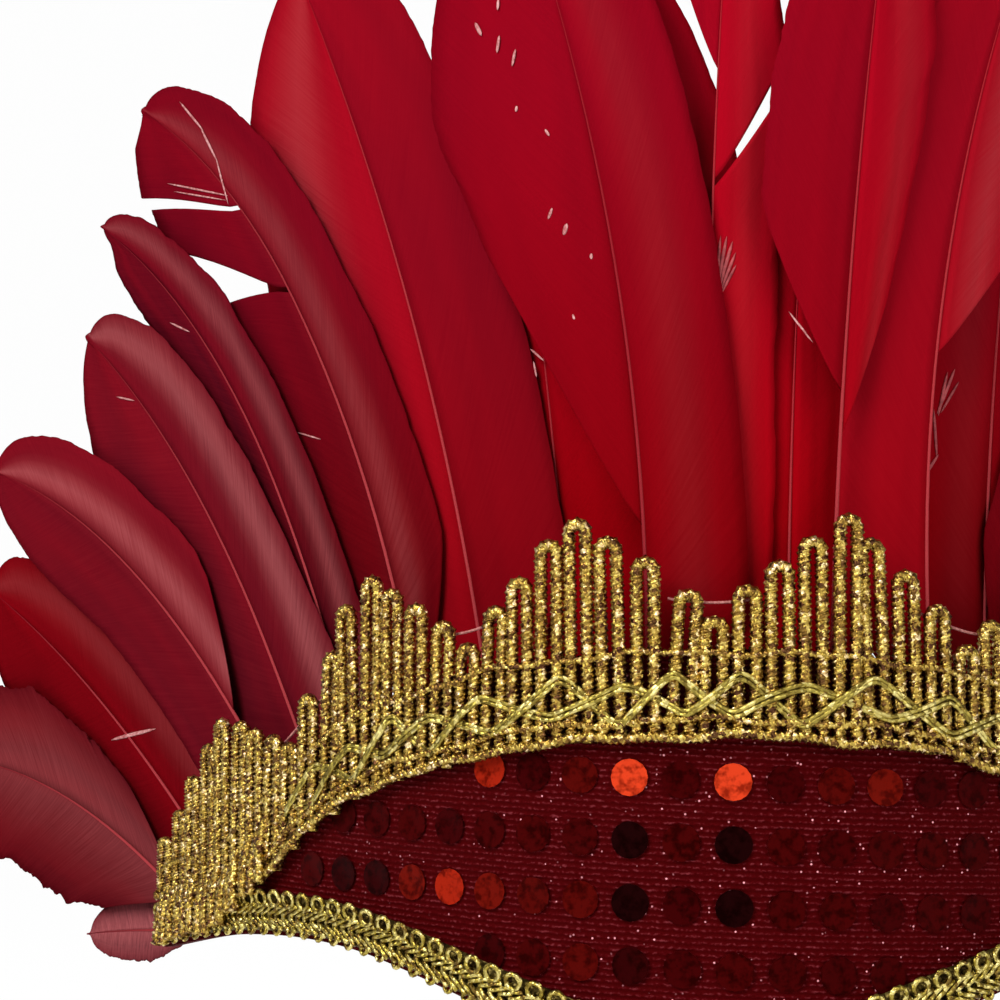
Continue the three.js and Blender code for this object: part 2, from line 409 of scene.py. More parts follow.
knit, knit_tree, knit_shader = new_material("sequin_knit")
knit_map = new_node(knit_tree, "ShaderNodeUVMap", uv_map="UVMap")
knit_ribs = new_node(knit_tree, "ShaderNodeTexWave", wave_type="BANDS", bands_direction="Y")
set_inputs(knit_ribs, Scale=32.0, Distortion=1.6, Detail=2.0, Detail_Scale=2.5)
link(knit_tree, knit_map, "UV", knit_ribs, "Vector")
knit_fibre = grain_on(knit_tree, knit_map, "UV", scale=140.0, detail=3.0)
knit_cells = new_node(knit_tree, "ShaderNodeTexVoronoi", feature="F1")
set_inputs(knit_cells, Scale=190.0)
link(knit_tree, knit_map, "UV", knit_cells, "Vector")
knit_pick = new_node(knit_tree, "ShaderNodeSeparateColor")
link(knit_tree, knit_cells, "Color", knit_pick, "Color")
knit_side = new_node(knit_tree, "ShaderNodeSeparateXYZ")
link(knit_tree, knit_map, "UV", knit_side, "Vector")
knit_more = math_on(knit_tree, "MULTIPLY_ADD", (knit_side, "X"), SPECK_GLINTS_TO_RIGHT, (knit_pick, "Red"))
knit_rare = ramp_on(knit_tree, knit_more, "Value", [(0.965, (0, 0, 0)), (0.99, (1, 1, 1))])
knit_dot = ramp_on(knit_tree, knit_cells, "Distance", [(0.22, (1, 1, 1)), (0.4, (0, 0, 0))])
knit_speck_glint = math_on(knit_tree, "MULTIPLY", (knit_rare, "Color"), (knit_dot, "Color"))
knit_thread = math_on(knit_tree, "MULTIPLY", (knit_ribs, "Fac"), (knit_fibre, "Shade"))
knit_colour = ramp_on(knit_tree, knit_thread, "Value", KNIT_STOPS)
knit_mix = mix_on(knit_tree, "MIX", (knit_speck_glint, "Value"), (knit_colour, "Color"), SPECK_GLINT_COLOUR)
link(knit_tree, knit_mix, MIX_RESULT, knit_shader, "Base Color")
roughen(knit_tree, knit_shader, knit_speck_glint, "Value", 0.62, 0.24)
set_inputs(knit_shader, Specular_IOR_Level=0.02, Specular_Tint=(1.0, 0.25, 0.28, 1))
knit_height = math_on(knit_tree, "ADD", (knit_ribs, "Fac"), (knit_fibre, "Height"))
add_bump(knit_tree, knit_shader, knit_height, "Value", strength=0.55, distance=0.3 * MM)
print("material", knit.name)

# %% [markdown]
# The panel is a grid whose columns are stretched between the two lines of the pattern. Its map is in
# units of 100 mm of cloth. Solidify gives it the thickness of the stiffened cloth, and the guide
# bends it. The boxes of the bent grid and of the frame's panel are printed side by side.

# %% The brow panel
PANEL_COLUMNS = 128
PANEL_ROWS = 14
PANEL_BEHIND_CROWN = 15 * MM
CLOTH_UNIT = 100 * MM
CLOTH_TILT = math.radians(-2.3)

panel = flat_grid("sequin_panel", PANEL_COLUMNS, PANEL_ROWS)
grid_places = points_of(panel)
panel_along = grid_places[:, 0] * 2 * PANEL_HALF_LENGTH
panel_low = line_height(LOWER_EDGE, panel_along)
panel_high = line_height(CROWN_FOOT, panel_along) + PANEL_BEHIND_CROWN
panel_up = panel_low + (panel_high - panel_low) * (grid_places[:, 1] + 0.5)
set_points(panel, np.column_stack([panel_along, np.zeros(len(panel_along)), panel_up]))

cloth_u = panel_along * math.cos(CLOTH_TILT) + panel_up * math.sin(CLOTH_TILT)
cloth_v = panel_up * math.cos(CLOTH_TILT) - panel_along * math.sin(CLOTH_TILT)
corner_points = np.empty(len(panel.data.loops), dtype=int)
panel.data.loops.foreach_get("vertex_index", corner_points)
cloth_map = np.column_stack([cloth_u, cloth_v])[corner_points] / CLOTH_UNIT
panel.data.uv_layers["UVMap"].data.foreach_set("uv", cloth_map.ravel())

thicken(panel, PANEL_THICKNESS, offset=0)
bend_along(panel, brow_guide)
smooth(panel, angle=40)
panel.data.materials.append(knit)
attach(panel, "root")
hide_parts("panel")
print("panel", points_of(panel).min(axis=0), points_of(panel).max(axis=0), "frame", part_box("panel"))

# %% [markdown]
# Sequins are small cupped discs of foil. They stand in level rows on the cloth, and each one lies at its
# own small angle. Under one light some flash orange red, some stay wine red and some go almost black,
# and that is painted: each copy carries its painted light, from a painted highlight to painted shade, in
# a colour attribute. One disc is modelled from a circle: two insets dish it and Solidify gives the foil
# its thickness.

# %% One sequin
SEQUIN_RADIUS = 3.0 * MM
SEQUIN_SIDES = 16
SEQUIN_RIM = 0.5 * MM
SEQUIN_DISH = 0.22 * MM
SEQUIN_FOIL = 0.12 * MM
# Width of the sloping ring between the rim and the flat middle, in parts of the radius
SEQUIN_SLOPE = 0.45

bpy.ops.object.select_all(action="DESELECT")
bpy.ops.mesh.primitive_circle_add(vertices=SEQUIN_SIDES, radius=SEQUIN_RADIUS, fill_type="NGON")
sequin = added("sequin")
bpy.ops.object.mode_set(mode="EDIT")
bpy.ops.mesh.select_all(action="SELECT")
bpy.ops.mesh.inset(thickness=SEQUIN_RIM, depth=0)
bpy.ops.mesh.inset(thickness=SEQUIN_RADIUS * SEQUIN_SLOPE, depth=-SEQUIN_DISH)
bpy.ops.object.mode_set(mode="OBJECT")
thicken(sequin, SEQUIN_FOIL, offset=1)
print("sequin faces", len(sequin.data.polygons))

# %% Rows of sequins on the cloth
SEQUIN_PITCH = 8.15 * MM
SEQUIN_ROW_PITCH = 9.95 * MM
SEQUIN_FIRST_ALONG = -5.1 * MM
SEQUIN_FIRST_UP = 5.2 * MM
SEQUIN_ROWS = range(-4, 5)
SEQUIN_COLUMNS = range(-14, 16)
SEQUIN_TUCK = 0.8 * MM
SEQUIN_OUT = PANEL_THICKNESS / 2 + 0.35 * MM
SEQUIN_LEAN = math.radians(2)
SEQUIN_SEED = 11
SHADE_SPREAD = 0.1
# Levels of painted light on the foil, from a painted highlight down to painted shade
FLASH, BRIGHT, GLOW, FAINT, DULL, DIM, DARK = 1.0, 0.8, 0.64, 0.54, 0.38, 0.16, 0.0
# Row and column of the sequins whose painted light stands out, from painted highlight to painted shade
SEQUIN_PAINTED_LIGHT = {
    (2, -1): FLASH, (2, 1): FLASH, (2, -4): BRIGHT, (0, -5): BRIGHT,
    (2, 4): GLOW, (0, -6): GLOW, (0, -4): GLOW,
    (2, -2): FAINT, (2, 3): FAINT, (0, -3): FAINT, (0, -2): FAINT, (-1, -2): FAINT,
    (0, -8): DIM, (0, -7): DIM, (-1, -1): DIM,
    (1, -1): DARK, (1, 1): DARK, (0, -1): DARK, (0, 1): DARK,
}
sequin_luck = np.random.default_rng(SEQUIN_SEED)
sequin_copies = []
for row in SEQUIN_ROWS:
    for column in SEQUIN_COLUMNS:
        along = SEQUIN_FIRST_ALONG + column * SEQUIN_PITCH
        up = SEQUIN_FIRST_UP + row * SEQUIN_ROW_PITCH + along * math.tan(CLOTH_TILT)
        lean = sequin_luck.normal(0, SEQUIN_LEAN, 2)
        painted_light = SEQUIN_PAINTED_LIGHT.get((row, column), DULL + sequin_luck.uniform(-SHADE_SPREAD, SHADE_SPREAD))
        low = float(line_height(LOWER_EDGE, along) + edge_rise(along)) - SEQUIN_TUCK
        high = float(line_height(CROWN_FOOT, along)) - SEQUIN_TUCK
        if abs(along) > PANEL_HALF_LENGTH - SEQUIN_RADIUS or up < low or up > high:
            continue
        disc = own_copy(sequin, f"sequin_{row}_{column}")
        disc.location = (along, up, SEQUIN_OUT)
        disc.rotation_euler = (lean[0], lean[1], 0)
        painted_light_layer = disc.data.color_attributes.new("painted_light", "FLOAT_COLOR", "POINT")
        painted_light_layer.data.foreach_set("color", [painted_light, painted_light, painted_light, 1] * len(disc.data.vertices))
        apply_place(disc)
        sequin_copies.append(disc)
sequins = join(sequin_copies, "sequins")
lay_on_brow(sequins)
bpy.data.objects.remove(sequin)
print("sequins", len(sequin_copies), "triangles", triangle_count(sequins))

# %% [markdown]
# The foil is a tinted film with a red sheen. Its colour runs from black through wine red to orange along
# the painted light that each disc carries, from painted shade to a painted highlight, and a fine grain
# makes it blotchy.

# %% The sequin foil material
# Foil colour from painted shade in black through wine red to a painted highlight in orange
FOIL_STOPS = [
    (0.0, (0.006, 0.0006, 0.0008)), (0.3, (0.03, 0.0005, 0.0009)), (0.5, (0.042, 0.0009, 0.001)),
    (0.7, (0.14, 0.005, 0.002)), (0.86, (0.34, 0.015, 0.004)), (1.0, (0.54, 0.038, 0.01)),
]
BLOTCH_STOPS = [(0.15, (0.4, 0.3, 0.3)), (0.65, (1.05, 1.05, 1.05))]

foil_material, foil_tree, foil_shader = new_material("sequin_foil")
foil_painted_light = new_node(foil_tree, "ShaderNodeAttribute", attribute_name="painted_light")
foil_colour = ramp_on(foil_tree, foil_painted_light, "Fac", FOIL_STOPS)
foil_place = foil_tree.nodes.new("ShaderNodeTexCoord")
foil_grain = grain_on(foil_tree, foil_place, "Object", scale=620.0, detail=2.0)
foil_blotch = ramp_on(foil_tree, foil_grain, "Shade", BLOTCH_STOPS)
foil_mix = mix_on(foil_tree, "MULTIPLY", 1.0, (foil_colour, "Color"), (foil_blotch, "Color"))
link(foil_tree, foil_mix, MIX_RESULT, foil_shader, "Base Color")
roughen(foil_tree, foil_shader, foil_grain, "Shade", 0.28, 0.46)
set_inputs(foil_shader, Specular_IOR_Level=0.05, Specular_Tint=(1.0, 0.1, 0.08, 1))
add_bump(foil_tree, foil_shader, foil_grain, "Height", strength=0.15, distance=0.1 * MM)
sequins.data.materials.append(foil_material)
smooth(sequins, angle=35)
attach(sequins, "root")
print("material", foil_material.name)

# %% [markdown]
# Gold thread is metallic strip, a greenish yellow. Every wind of the strip tilts a little, so the metal
# glitters: small cells shift the colour and the roughness and stand up as beads, and the fibre grain lifts
# the surface. The colour of a cell runs from painted shade in dark brown to a painted glint. The glitter
# is one group, and the cords, the flat tape, the gimp and its dark core each use it with their own cell
# size and colours, the core's all in painted shade.

# %% The gold finishes
glitter_inputs = [("Vector", "NodeSocketVector"), ("Scale", "NodeSocketFloat")]
glitter_outputs = [("Shade", "NodeSocketFloat"), ("Wear", "NodeSocketFloat"), ("Relief", "NodeSocketFloat")]
gold_glitter, glitter_in, glitter_out = make_group("gold_glitter", glitter_inputs, glitter_outputs)
glitter_cells = new_node(gold_glitter, "ShaderNodeTexVoronoi", feature="F1")
link(gold_glitter, glitter_in, "Vector", glitter_cells, "Vector")
link(gold_glitter, glitter_in, "Scale", glitter_cells, "Scale")
glitter_parts = gold_glitter.nodes.new("ShaderNodeSeparateColor")
link(gold_glitter, glitter_cells, "Color", glitter_parts, "Color")
link(gold_glitter, glitter_parts, "Red", glitter_out, "Shade")
link(gold_glitter, glitter_parts, "Green", glitter_out, "Wear")
glitter_beads = new_node(gold_glitter, "ShaderNodeMapRange")
set_inputs(glitter_beads, From_Max=0.8, To_Min=1.0, To_Max=0.0)
link(gold_glitter, glitter_cells, "Distance", glitter_beads, "Value")
link(gold_glitter, glitter_beads, "Result", glitter_out, "Relief")
# Height of a bead in parts of a cell
BEAD_RELIEF = 0.45


def gold_finish(name, cells, stops, smoothest, roughest):
    material, tree, shader = new_material(name)
    place = tree.nodes.new("ShaderNodeTexCoord")
    glitter = use_group(tree, gold_glitter, Scale=cells)
    link(tree, place, "Object", glitter, "Vector")
    colour = ramp_on(tree, glitter, "Shade", stops)
    link(tree, colour, "Color", shader, "Base Color")
    roughen(tree, shader, glitter, "Wear", smoothest, roughest)
    set_inputs(shader, Metallic=1.0)
    grain = grain_on(tree, place, "Object", scale=2600.0, detail=2.0)
    beads = add_bump(tree, shader, glitter, "Relief", strength=0.7, distance=BEAD_RELIEF / cells)
    strips = add_bump(tree, shader, grain, "Height", strength=0.4, distance=0.1 * MM)
    link(tree, beads, "Normal", strips, "Normal")
    return material


# Cell colours of the gold finishes, from painted shade in dark brown to painted glints at the top
CORD_STOPS = [
    (0.05, (0.1, 0.04, 0.018)), (0.4, (0.32, 0.185, 0.036)), (0.7, (0.52, 0.36, 0.07)),
    (0.9, (0.72, 0.53, 0.15)), (0.97, (0.95, 0.72, 0.38)),
]
TAPE_STOPS = [(0.05, (0.2, 0.14, 0.028)), (0.6, (0.46, 0.36, 0.072)), (0.95, (0.78, 0.66, 0.25))]
GIMP_STOPS = [(0.05, (0.17, 0.1, 0.022)), (0.5, (0.42, 0.32, 0.054)), (0.95, (0.8, 0.67, 0.24))]
# The dark core of the gimp is gold in painted shade
CORE_SHADE_STOPS = [(0.05, (0.03, 0.016, 0.007)), (0.5, (0.09, 0.06, 0.014)), (0.95, (0.22, 0.16, 0.045))]
gold_cord = gold_finish("gold_cord", 1400.0, CORD_STOPS, smoothest=0.26, roughest=0.44)
gold_tape = gold_finish("gold_tape", 900.0, TAPE_STOPS, smoothest=0.3, roughest=0.5)
gold_gimp = gold_finish("gold_gimp", 1200.0, GIMP_STOPS, smoothest=0.26, roughest=0.44)
shaded_gold_core = gold_finish("shaded_gold_core", 1200.0, CORE_SHADE_STOPS, smoothest=0.35, roughest=0.55)
print("gold finishes", gold_cord.name, gold_tape.name, gold_gimp.name, shaded_gold_core.name)

# %% [markdown]
# Gold braid is made of cords, and a cord is thin metal strip wound on a thread. Twisting a flattened
# ring along a line with the Screw modifier gives its rope of small highlights. The ends are filled so
# that each cord is closed. Bent along a small guide, the same cord makes loops, rows and plaits.


# %% A twisted cord
CORD_SIDES = 6


def twisted_cord(name, length, radius, flatness, pitch, steps, turning=True, finish=None):
    bpy.ops.object.select_all(action="DESELECT")
    bpy.ops.mesh.primitive_circle_add(vertices=CORD_SIDES, radius=radius, rotation=(0, math.pi / 2, 0))
    cord = added(name)
    cord.scale.x = flatness
    apply_place(cord)
    turns = max(1, round(length / pitch))
    twist = cord.modifiers.new("twist", "SCREW")
    twist.axis = "X"
    twist.angle = math.tau if turning else 0
    twist.screw_offset = length / turns
    twist.iterations = turns
    twist.steps = steps
    twist.render_steps = steps
    apply_modifiers(cord)
    bpy.ops.object.mode_set(mode="EDIT")
    bpy.ops.mesh.select_all(action="SELECT")
    bpy.ops.mesh.remove_doubles(threshold=0.001 * MM)
    bpy.ops.mesh.fill_holes(sides=0)
    bpy.ops.mesh.normals_make_consistent(inside=False)
    bpy.ops.object.mode_set(mode="OBJECT")
    if finish:
        cord.data.materials.append(finish)
    return cord


def line_length(places):
    return float(np.linalg.norm(np.diff(np.array(places), axis=0), axis=1).sum())


def cord_on_line(name, places, radius, flatness, pitch, steps, turning=True, finish=None):
    cord = twisted_cord(name, line_length(places), radius, flatness, pitch, steps, turning, finish)
    bend_on_line(cord, places)
    return cord


print("sides of a cord", CORD_SIDES)

# %% [markdown]
# The crown braid is a row of upright loops, longer and shorter by turns so that its top rises and
# falls in scallops. There are only five lengths, so five loops are modelled lying flat and copied to
# their places. Each loop stands on the foot line, and its two legs run down behind a binding cord.

# %% The loops of the crown braid
LOOP_PITCH = 5.2 * MM
LOOPS_PER_HALF = 24
LOOPS_PER_SCALLOP = 8
LOOP_HEIGHTS = [20.4 * MM, 25.4 * MM, 29.8 * MM, 34.4 * MM, 37.6 * MM]
LOOP_FOOT = 0.8 * MM
LOOP_LEG_HALF_GAP = 1.38 * MM
LOOP_CORD = 1.26 * MM
LOOP_FLATNESS = 0.72
LOOP_TWIST = 1.8 * MM
LOOP_TWIST_STEPS = 5
LOOP_OUT = 2.75 * MM
LOOP_BEND_STEPS = 10
# How much the loops differ by chance in height, lean and distance out
LOOP_SEED = 23
LOOP_HEIGHT_LUCK = 0.3 * MM
LOOP_LEAN_LUCK = 0.018
LOOP_OUT_LUCK = 0.12 * MM
ROW_CLEARANCE = 0.6 * MM
ROW_SQUEEZE = 0.35


def row_height(along, rise):
    on_foot = line_height(CROWN_FOOT, along) + rise
    on_edge = line_height(LOWER_EDGE, along) + edge_rise(along) + ROW_CLEARANCE + ROW_SQUEEZE * rise
    return np.maximum(on_foot, on_edge)


def loop_line(height):
    bend_height = height - LOOP_LEG_HALF_GAP - LOOP_CORD
    half_way = (LOOP_FOOT + bend_height) / 2
    places = [(-LOOP_LEG_HALF_GAP, LOOP_FOOT, 0), (-LOOP_LEG_HALF_GAP, half_way, 0)]
    for turn in np.linspace(0, math.pi, LOOP_BEND_STEPS):
        x = -LOOP_LEG_HALF_GAP * math.cos(turn)
        y = bend_height + LOOP_LEG_HALF_GAP * math.sin(turn)
        places.append((x, y, 0))
    return places + [(LOOP_LEG_HALF_GAP, half_way, 0), (LOOP_LEG_HALF_GAP, LOOP_FOOT, 0)]


loop_kinds = [
    cord_on_line(f"loop_{kind}", loop_line(height), LOOP_CORD, LOOP_FLATNESS, LOOP_TWIST, LOOP_TWIST_STEPS,
                 finish=gold_cord)
    for kind, height in enumerate(LOOP_HEIGHTS)
]
loop_luck = np.random.default_rng(LOOP_SEED)
crown_cords = []
for loop in range(-LOOPS_PER_HALF, LOOPS_PER_HALF + 1):
    in_scallop = abs(loop) % LOOPS_PER_SCALLOP
    kind = min(in_scallop, LOOPS_PER_SCALLOP - in_scallop)
    along = loop * LOOP_PITCH
    top = float(line_height(CROWN_FOOT, along)) + LOOP_HEIGHTS[kind] + loop_luck.normal(0, LOOP_HEIGHT_LUCK)
    foot = float(row_height(along, LOOP_FOOT))
    stretch = (top - foot) / (LOOP_HEIGHTS[kind] - LOOP_FOOT)
    copy = own_copy(loop_kinds[kind], f"crown_loop_{loop + LOOPS_PER_HALF}")
    copy.scale.y = stretch
    copy.rotation_euler = (0, 0, loop_luck.normal(0, LOOP_LEAN_LUCK))
    copy.location = (along, foot - LOOP_FOOT * stretch, LOOP_OUT + loop_luck.normal(0, LOOP_OUT_LUCK))
    apply_place(copy)
    crown_cords.append(copy)
for piece in loop_kinds:
    bpy.data.objects.remove(piece)
print("loops", len(crown_cords))

# %% [markdown]
# In front of the loops, level cords bind the braid. They follow the foot line at their own heights, a
# little unsteadily, as sewn cords do. Where the braid runs out at the temples they are squeezed together
# above the edge braid.

# %% The level cords of the crown braid
ROW_STEPS = 260
ROW_END = 127.0 * MM
# Rise over the foot line, radius, flatness, twist and distance out, of each level cord
CROWN_ROWS = [
    (1.2 * MM, 1.0 * MM, 0.65, 2.0 * MM, 3.5 * MM),
    (3.7 * MM, 0.8 * MM, 0.65, 1.8 * MM, 3.4 * MM),
    (14.4 * MM, 0.7 * MM, 0.65, 1.8 * MM, 3.2 * MM),
]
ROW_TWIST_STEPS = 6
# A slow and a quick wave make a cord unsteady
ROW_WOBBLE = 0.35 * MM
ROW_WAVE = 4.3 * MM
ROW_RIPPLE = 1.9 * MM
RIPPLE_SHARE = 0.7

row_along = np.linspace(-ROW_END, ROW_END, ROW_STEPS + 1)
for number, (rise, radius, flatness, pitch, out) in enumerate(CROWN_ROWS):
    wave = np.sin(row_along / ROW_WAVE + 2 * number)
    ripple = np.sin(row_along / ROW_RIPPLE + number)
    heights = row_height(row_along, rise) + ROW_WOBBLE * (wave + RIPPLE_SHARE * ripple)
    places = np.column_stack([row_along, heights, np.full(len(row_along), out)])
    crown_cords.append(cord_on_line(f"crown_row_{number}", places, radius, flatness, pitch, ROW_TWIST_STEPS,
                                    finish=gold_cord))
print("level cords", len(CROWN_ROWS))

# %% [markdown]
# Two flat gold tapes cross in a zigzag between the level cords. Each is a pair of filaments side by side.
# The zigzag is a sine wave put through an arc sine, which leaves its corners a little round, and slow
# waves change its height and its pace, so that it looks sewn by hand.

# %% The zigzag tapes of the crown braid
TAPE_PERIOD = 20.8 * MM
TAPE_RISE = 7.3 * MM
TAPE_CORNER = 0.97
TAPE_RADIUS = 0.42 * MM
TAPE_FLATNESS = 0.55
TAPE_STEP = 0.65 * MM
TAPE_END = 84 * MM
TAPE_OUT = 3.75 * MM
TAPE_LIFT = 0.35 * MM
# How far the zigzag runs ahead and behind, in radians, and over what length
TAPE_PACE = 0.6
TAPE_PACE_WAVE = 9 * MM
# Half the height of the zigzag, and how much and over what length it changes
TAPE_SWING = 3.0 * MM
TAPE_SWING_CHANGE = 0.35
TAPE_SWING_WAVE = 13 * MM
# Half the distance between the two filaments of a tape, and how much and over what length it changes
TAPE_HALF_GAP = 0.4 * MM
TAPE_GAP_CHANGE = 0.3
TAPE_GAP_WAVE = 5 * MM

tape_along = row_along[np.abs(row_along) < TAPE_END]
for number, phase in enumerate((0.0, math.pi)):
    pace = TAPE_PACE * np.sin(tape_along / TAPE_PACE_WAVE + number)
    turn = math.tau * tape_along / TAPE_PERIOD + phase + pace
    zigzag = np.arcsin(TAPE_CORNER * np.sin(turn)) / math.asin(TAPE_CORNER)
    swing = TAPE_SWING * (1 + TAPE_SWING_CHANGE * np.sin(tape_along / TAPE_SWING_WAVE + 3 * number)) * zigzag
    tape_out = TAPE_OUT + TAPE_LIFT * np.cos(turn)
    for half in (-1, 1):
        gap = TAPE_HALF_GAP * (1 + TAPE_GAP_CHANGE * np.sin(tape_along / TAPE_GAP_WAVE + half))
        heights = row_height(tape_along, TAPE_RISE) + swing + half * gap
        places = np.column_stack([tape_along, heights, tape_out])
        name = f"crown_tape_{number}_{half + 1}"
        tape = cord_on_line(name, places, TAPE_RADIUS, TAPE_FLATNESS, TAPE_STEP, 1, False, gold_tape)
        crown_cords.append(tape)
print("crown cords with the tapes", len(crown_cords))

# %% [markdown]
# At the temples the last cords are turned down over the edge braid. They hang lower towards the end of
# the panel, a little unevenly. Then all the cords are joined, stood up and bent round the brow.

# %% The turned ends of the crown braid
# The first and last place, the place from which they cover the edge braid wholly, and how many on a side
TURN_FIRST = 90 * MM
TURN_LAST = 125.2 * MM
TURN_FULL = 106 * MM
TURN_COUNT = 15
TURN_FOOT = 0.9 * MM
TURN_LENGTH = 11 * MM
TURN_OUT = 4.3 * MM
TURN_SEED = 37
TURN_FOOT_LUCK = 0.4 * MM
TURN_LEAN_LUCK = 0.9 * MM

turn_luck = np.random.default_rng(TURN_SEED)
for side in (-1, 1):
    for order, place in enumerate(np.linspace(TURN_FIRST, TURN_LAST, TURN_COUNT)):
        along = side * float(place)
        shown = np.clip((TURN_FULL - place) / (TURN_FULL - TURN_FIRST), 0, 1)
        foot = float(line_height(LOWER_EDGE, along) + edge_rise(along) * shown) + TURN_FOOT
        foot += turn_luck.normal(0, TURN_FOOT_LUCK)
        lean = turn_luck.normal(0, TURN_LEAN_LUCK)
        places = [(0, foot, TURN_OUT), (lean / 2, foot + TURN_LENGTH / 2, TURN_OUT)]
        places.append((lean, foot + TURN_LENGTH, LOOP_OUT))
        turned = cord_on_line(f"turned_{side + 1}_{order}", places, LOOP_CORD, LOOP_FLATNESS, LOOP_TWIST,
                              LOOP_TWIST_STEPS, finish=gold_cord)
        turned.location.x = along
        apply_place(turned)
        crown_cords.append(turned)
crown = join(crown_cords, "crown_braid_cords")
lay_on_brow(crown)
smooth(crown)
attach(crown, "root")
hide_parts("crown_braid")

# %% [markdown]
# The edge braid is a narrow gimp. Down its middle lies a dark core, which is painted shade between the
# strands. From it short cords slant outwards to both sides, and a row of small rings stands along each
# rim. One pitch of it is modelled and repeated by an Array modifier along a straight strip. The strip is
# bent twice, along the lower edge and round the brow.

# %% The edge braid
EDGE_PITCH = 3.9 * MM
STRANDS_PER_PITCH = 2
STRAND_LENGTH = 4.4 * MM
STRAND_RADIUS = 0.5 * MM
STRAND_FLATNESS = 0.75
STRAND_STEPS = 6
STRAND_SLANT = math.radians(27)
# Height of the line where the strands meet, and the gap between them there
STRAND_MEETING = -0.6 * MM
STRAND_GAP = 0.25 * MM
# Side, ring radius, cord radius, distance from the middle line and distance out
EDGE_RINGS = [(-1, 0.8 * MM, 0.4 * MM, 3.0 * MM, 2.8 * MM), (1, 1.36 * MM, 0.46 * MM, 2.5 * MM, 3.4 * MM)]
RING_TILT = math.radians(14)
RING_SEGMENTS = 10
RING_CORD_SEGMENTS = 5
EDGE_STRAND_OUT = 3.1 * MM
CORE_RADIUS = 3.3 * MM
CORE_FLATNESS = 0.12
CORE_OUT = 1.9 * MM
CORE_STEP = 2.0 * MM
EDGE_LINE_STEPS = 240

edge_along = np.linspace(-PANEL_HALF_LENGTH, PANEL_HALF_LENGTH, EDGE_LINE_STEPS + 1)
edge_middle = line_height(LOWER_EDGE, edge_along) + edge_rise(edge_along) / 2
edge_places = np.column_stack([edge_along, edge_middle, np.zeros(len(edge_along))])
edge_length = line_length(edge_places)
edge_repeats = int(edge_length / EDGE_PITCH)

strand = twisted_cord("strand", STRAND_LENGTH, STRAND_RADIUS, STRAND_FLATNESS, STRAND_LENGTH, STRAND_STEPS,
                      finish=gold_gimp)
edge_pieces = []
for side, ring_radius, ring_cord, ring_spread, ring_out in EDGE_RINGS:
    for order in range(STRANDS_PER_PITCH):
        slanted = own_copy(strand, f"strand_{side}_{order}")
        slanted.rotation_euler = (0, 0, side * STRAND_SLANT)
        strand_height = STRAND_MEETING + side * STRAND_GAP / 2
        slanted.location = (order * EDGE_PITCH / STRANDS_PER_PITCH, strand_height, EDGE_STRAND_OUT)
        apply_place(slanted)
        edge_pieces.append(slanted)
    bpy.ops.object.select_all(action="DESELECT")
    bpy.ops.mesh.primitive_torus_add(
        major_radius=ring_radius, minor_radius=ring_cord,
        major_segments=RING_SEGMENTS, minor_segments=RING_CORD_SEGMENTS,
        location=(EDGE_PITCH / 2, side * ring_spread, ring_out), rotation=(side * RING_TILT, 0, 0),
    )
    ring = added(f"ring_{side}")
    ring.data.materials.append(gold_gimp)
    apply_place(ring)
    edge_pieces.append(ring)
bpy.data.objects.remove(strand)
gimp = join(edge_pieces, "gimp")
repeat = gimp.modifiers.new("repeat", "ARRAY")
repeat.use_relative_offset = False
repeat.use_constant_offset = True
repeat.constant_offset_displace = (edge_length / edge_repeats, 0, 0)
repeat.count = edge_repeats
apply_modifiers(gimp)
# The core is a flat strip in painted shade behind the strands
core = twisted_cord("core", edge_length, CORE_RADIUS, CORE_FLATNESS, CORE_STEP, 1, False, shaded_gold_core)
core.location.z = CORE_OUT
apply_place(core)
edge = join([gimp, core], "edge_braid_gimp")
bend_on_line(edge, edge_places)
lay_on_brow(edge)
smooth(edge)
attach(edge, "root")
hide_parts("edge_braid")

# %% [markdown]
# In the valleys between the scallops a thin pale sewing thread shows, drawn across from loop to loop. Each
# one is a very thin cord on a sagging line. Its finish is pale pink cotton with the fibre grain.

# %% The sewing threads in the valleys
THREAD_RADIUS = 0.26 * MM
THREAD_FLATNESS = 0.8
THREAD_TWIST = 1.2 * MM
THREAD_TWIST_STEPS = 5
THREAD_HALF_SPAN = 7.5 * MM
THREAD_POINTS = 15
THREAD_RISE = 22.4 * MM
THREAD_SAG = 0.9 * MM
THREAD_OUT = 1.0 * MM
THREAD_SEED = 31
THREAD_SHIFT_LUCK = 0.6 * MM
THREAD_TILT_LUCK = 0.25 * MM
VALLEYS = range(-2, 3)


def fibre_finish(name, scale, dark, light, smoothest, roughest):
    material, tree, shader = new_material(name)
    place = tree.nodes.new("ShaderNodeTexCoord")
    grain = grain_on(tree, place, "Object", scale, detail=2.0)
    colour = ramp_on(tree, grain, "Shade", [(0.1, dark), (0.9, light)])
    link(tree, colour, "Color", shader, "Base Color")
    roughen(tree, shader, grain, "Shade", smoothest, roughest)
    return material


cotton = fibre_finish("sewing_thread", 1800.0, (0.3, 0.07, 0.06), (0.55, 0.22, 0.2), 0.5, 0.75)
thread_luck = np.random.default_rng(THREAD_SEED)
share = np.linspace(-1, 1, THREAD_POINTS)
threads = []
for order, valley in enumerate(VALLEYS):
    middle = valley * LOOPS_PER_SCALLOP * LOOP_PITCH + thread_luck.normal(0, THREAD_SHIFT_LUCK)
    thread_along = middle + THREAD_HALF_SPAN * share
    thread_up = line_height(CROWN_FOOT, thread_along) + THREAD_RISE + THREAD_SAG * share**2
    thread_up += thread_luck.normal(0, THREAD_TILT_LUCK) * share
    places = np.column_stack([thread_along, thread_up, np.full(len(share), THREAD_OUT)])
    threads.append(cord_on_line(f"thread_{order}", places, THREAD_RADIUS, THREAD_FLATNESS, THREAD_TWIST,
                                THREAD_TWIST_STEPS, finish=cotton))
valley_threads = join(threads, "valley_threads")
lay_on_brow(valley_threads)
smooth(valley_threads)
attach(valley_threads, "root")
print("valley threads", len(threads), "triangles", triangle_count(valley_threads))
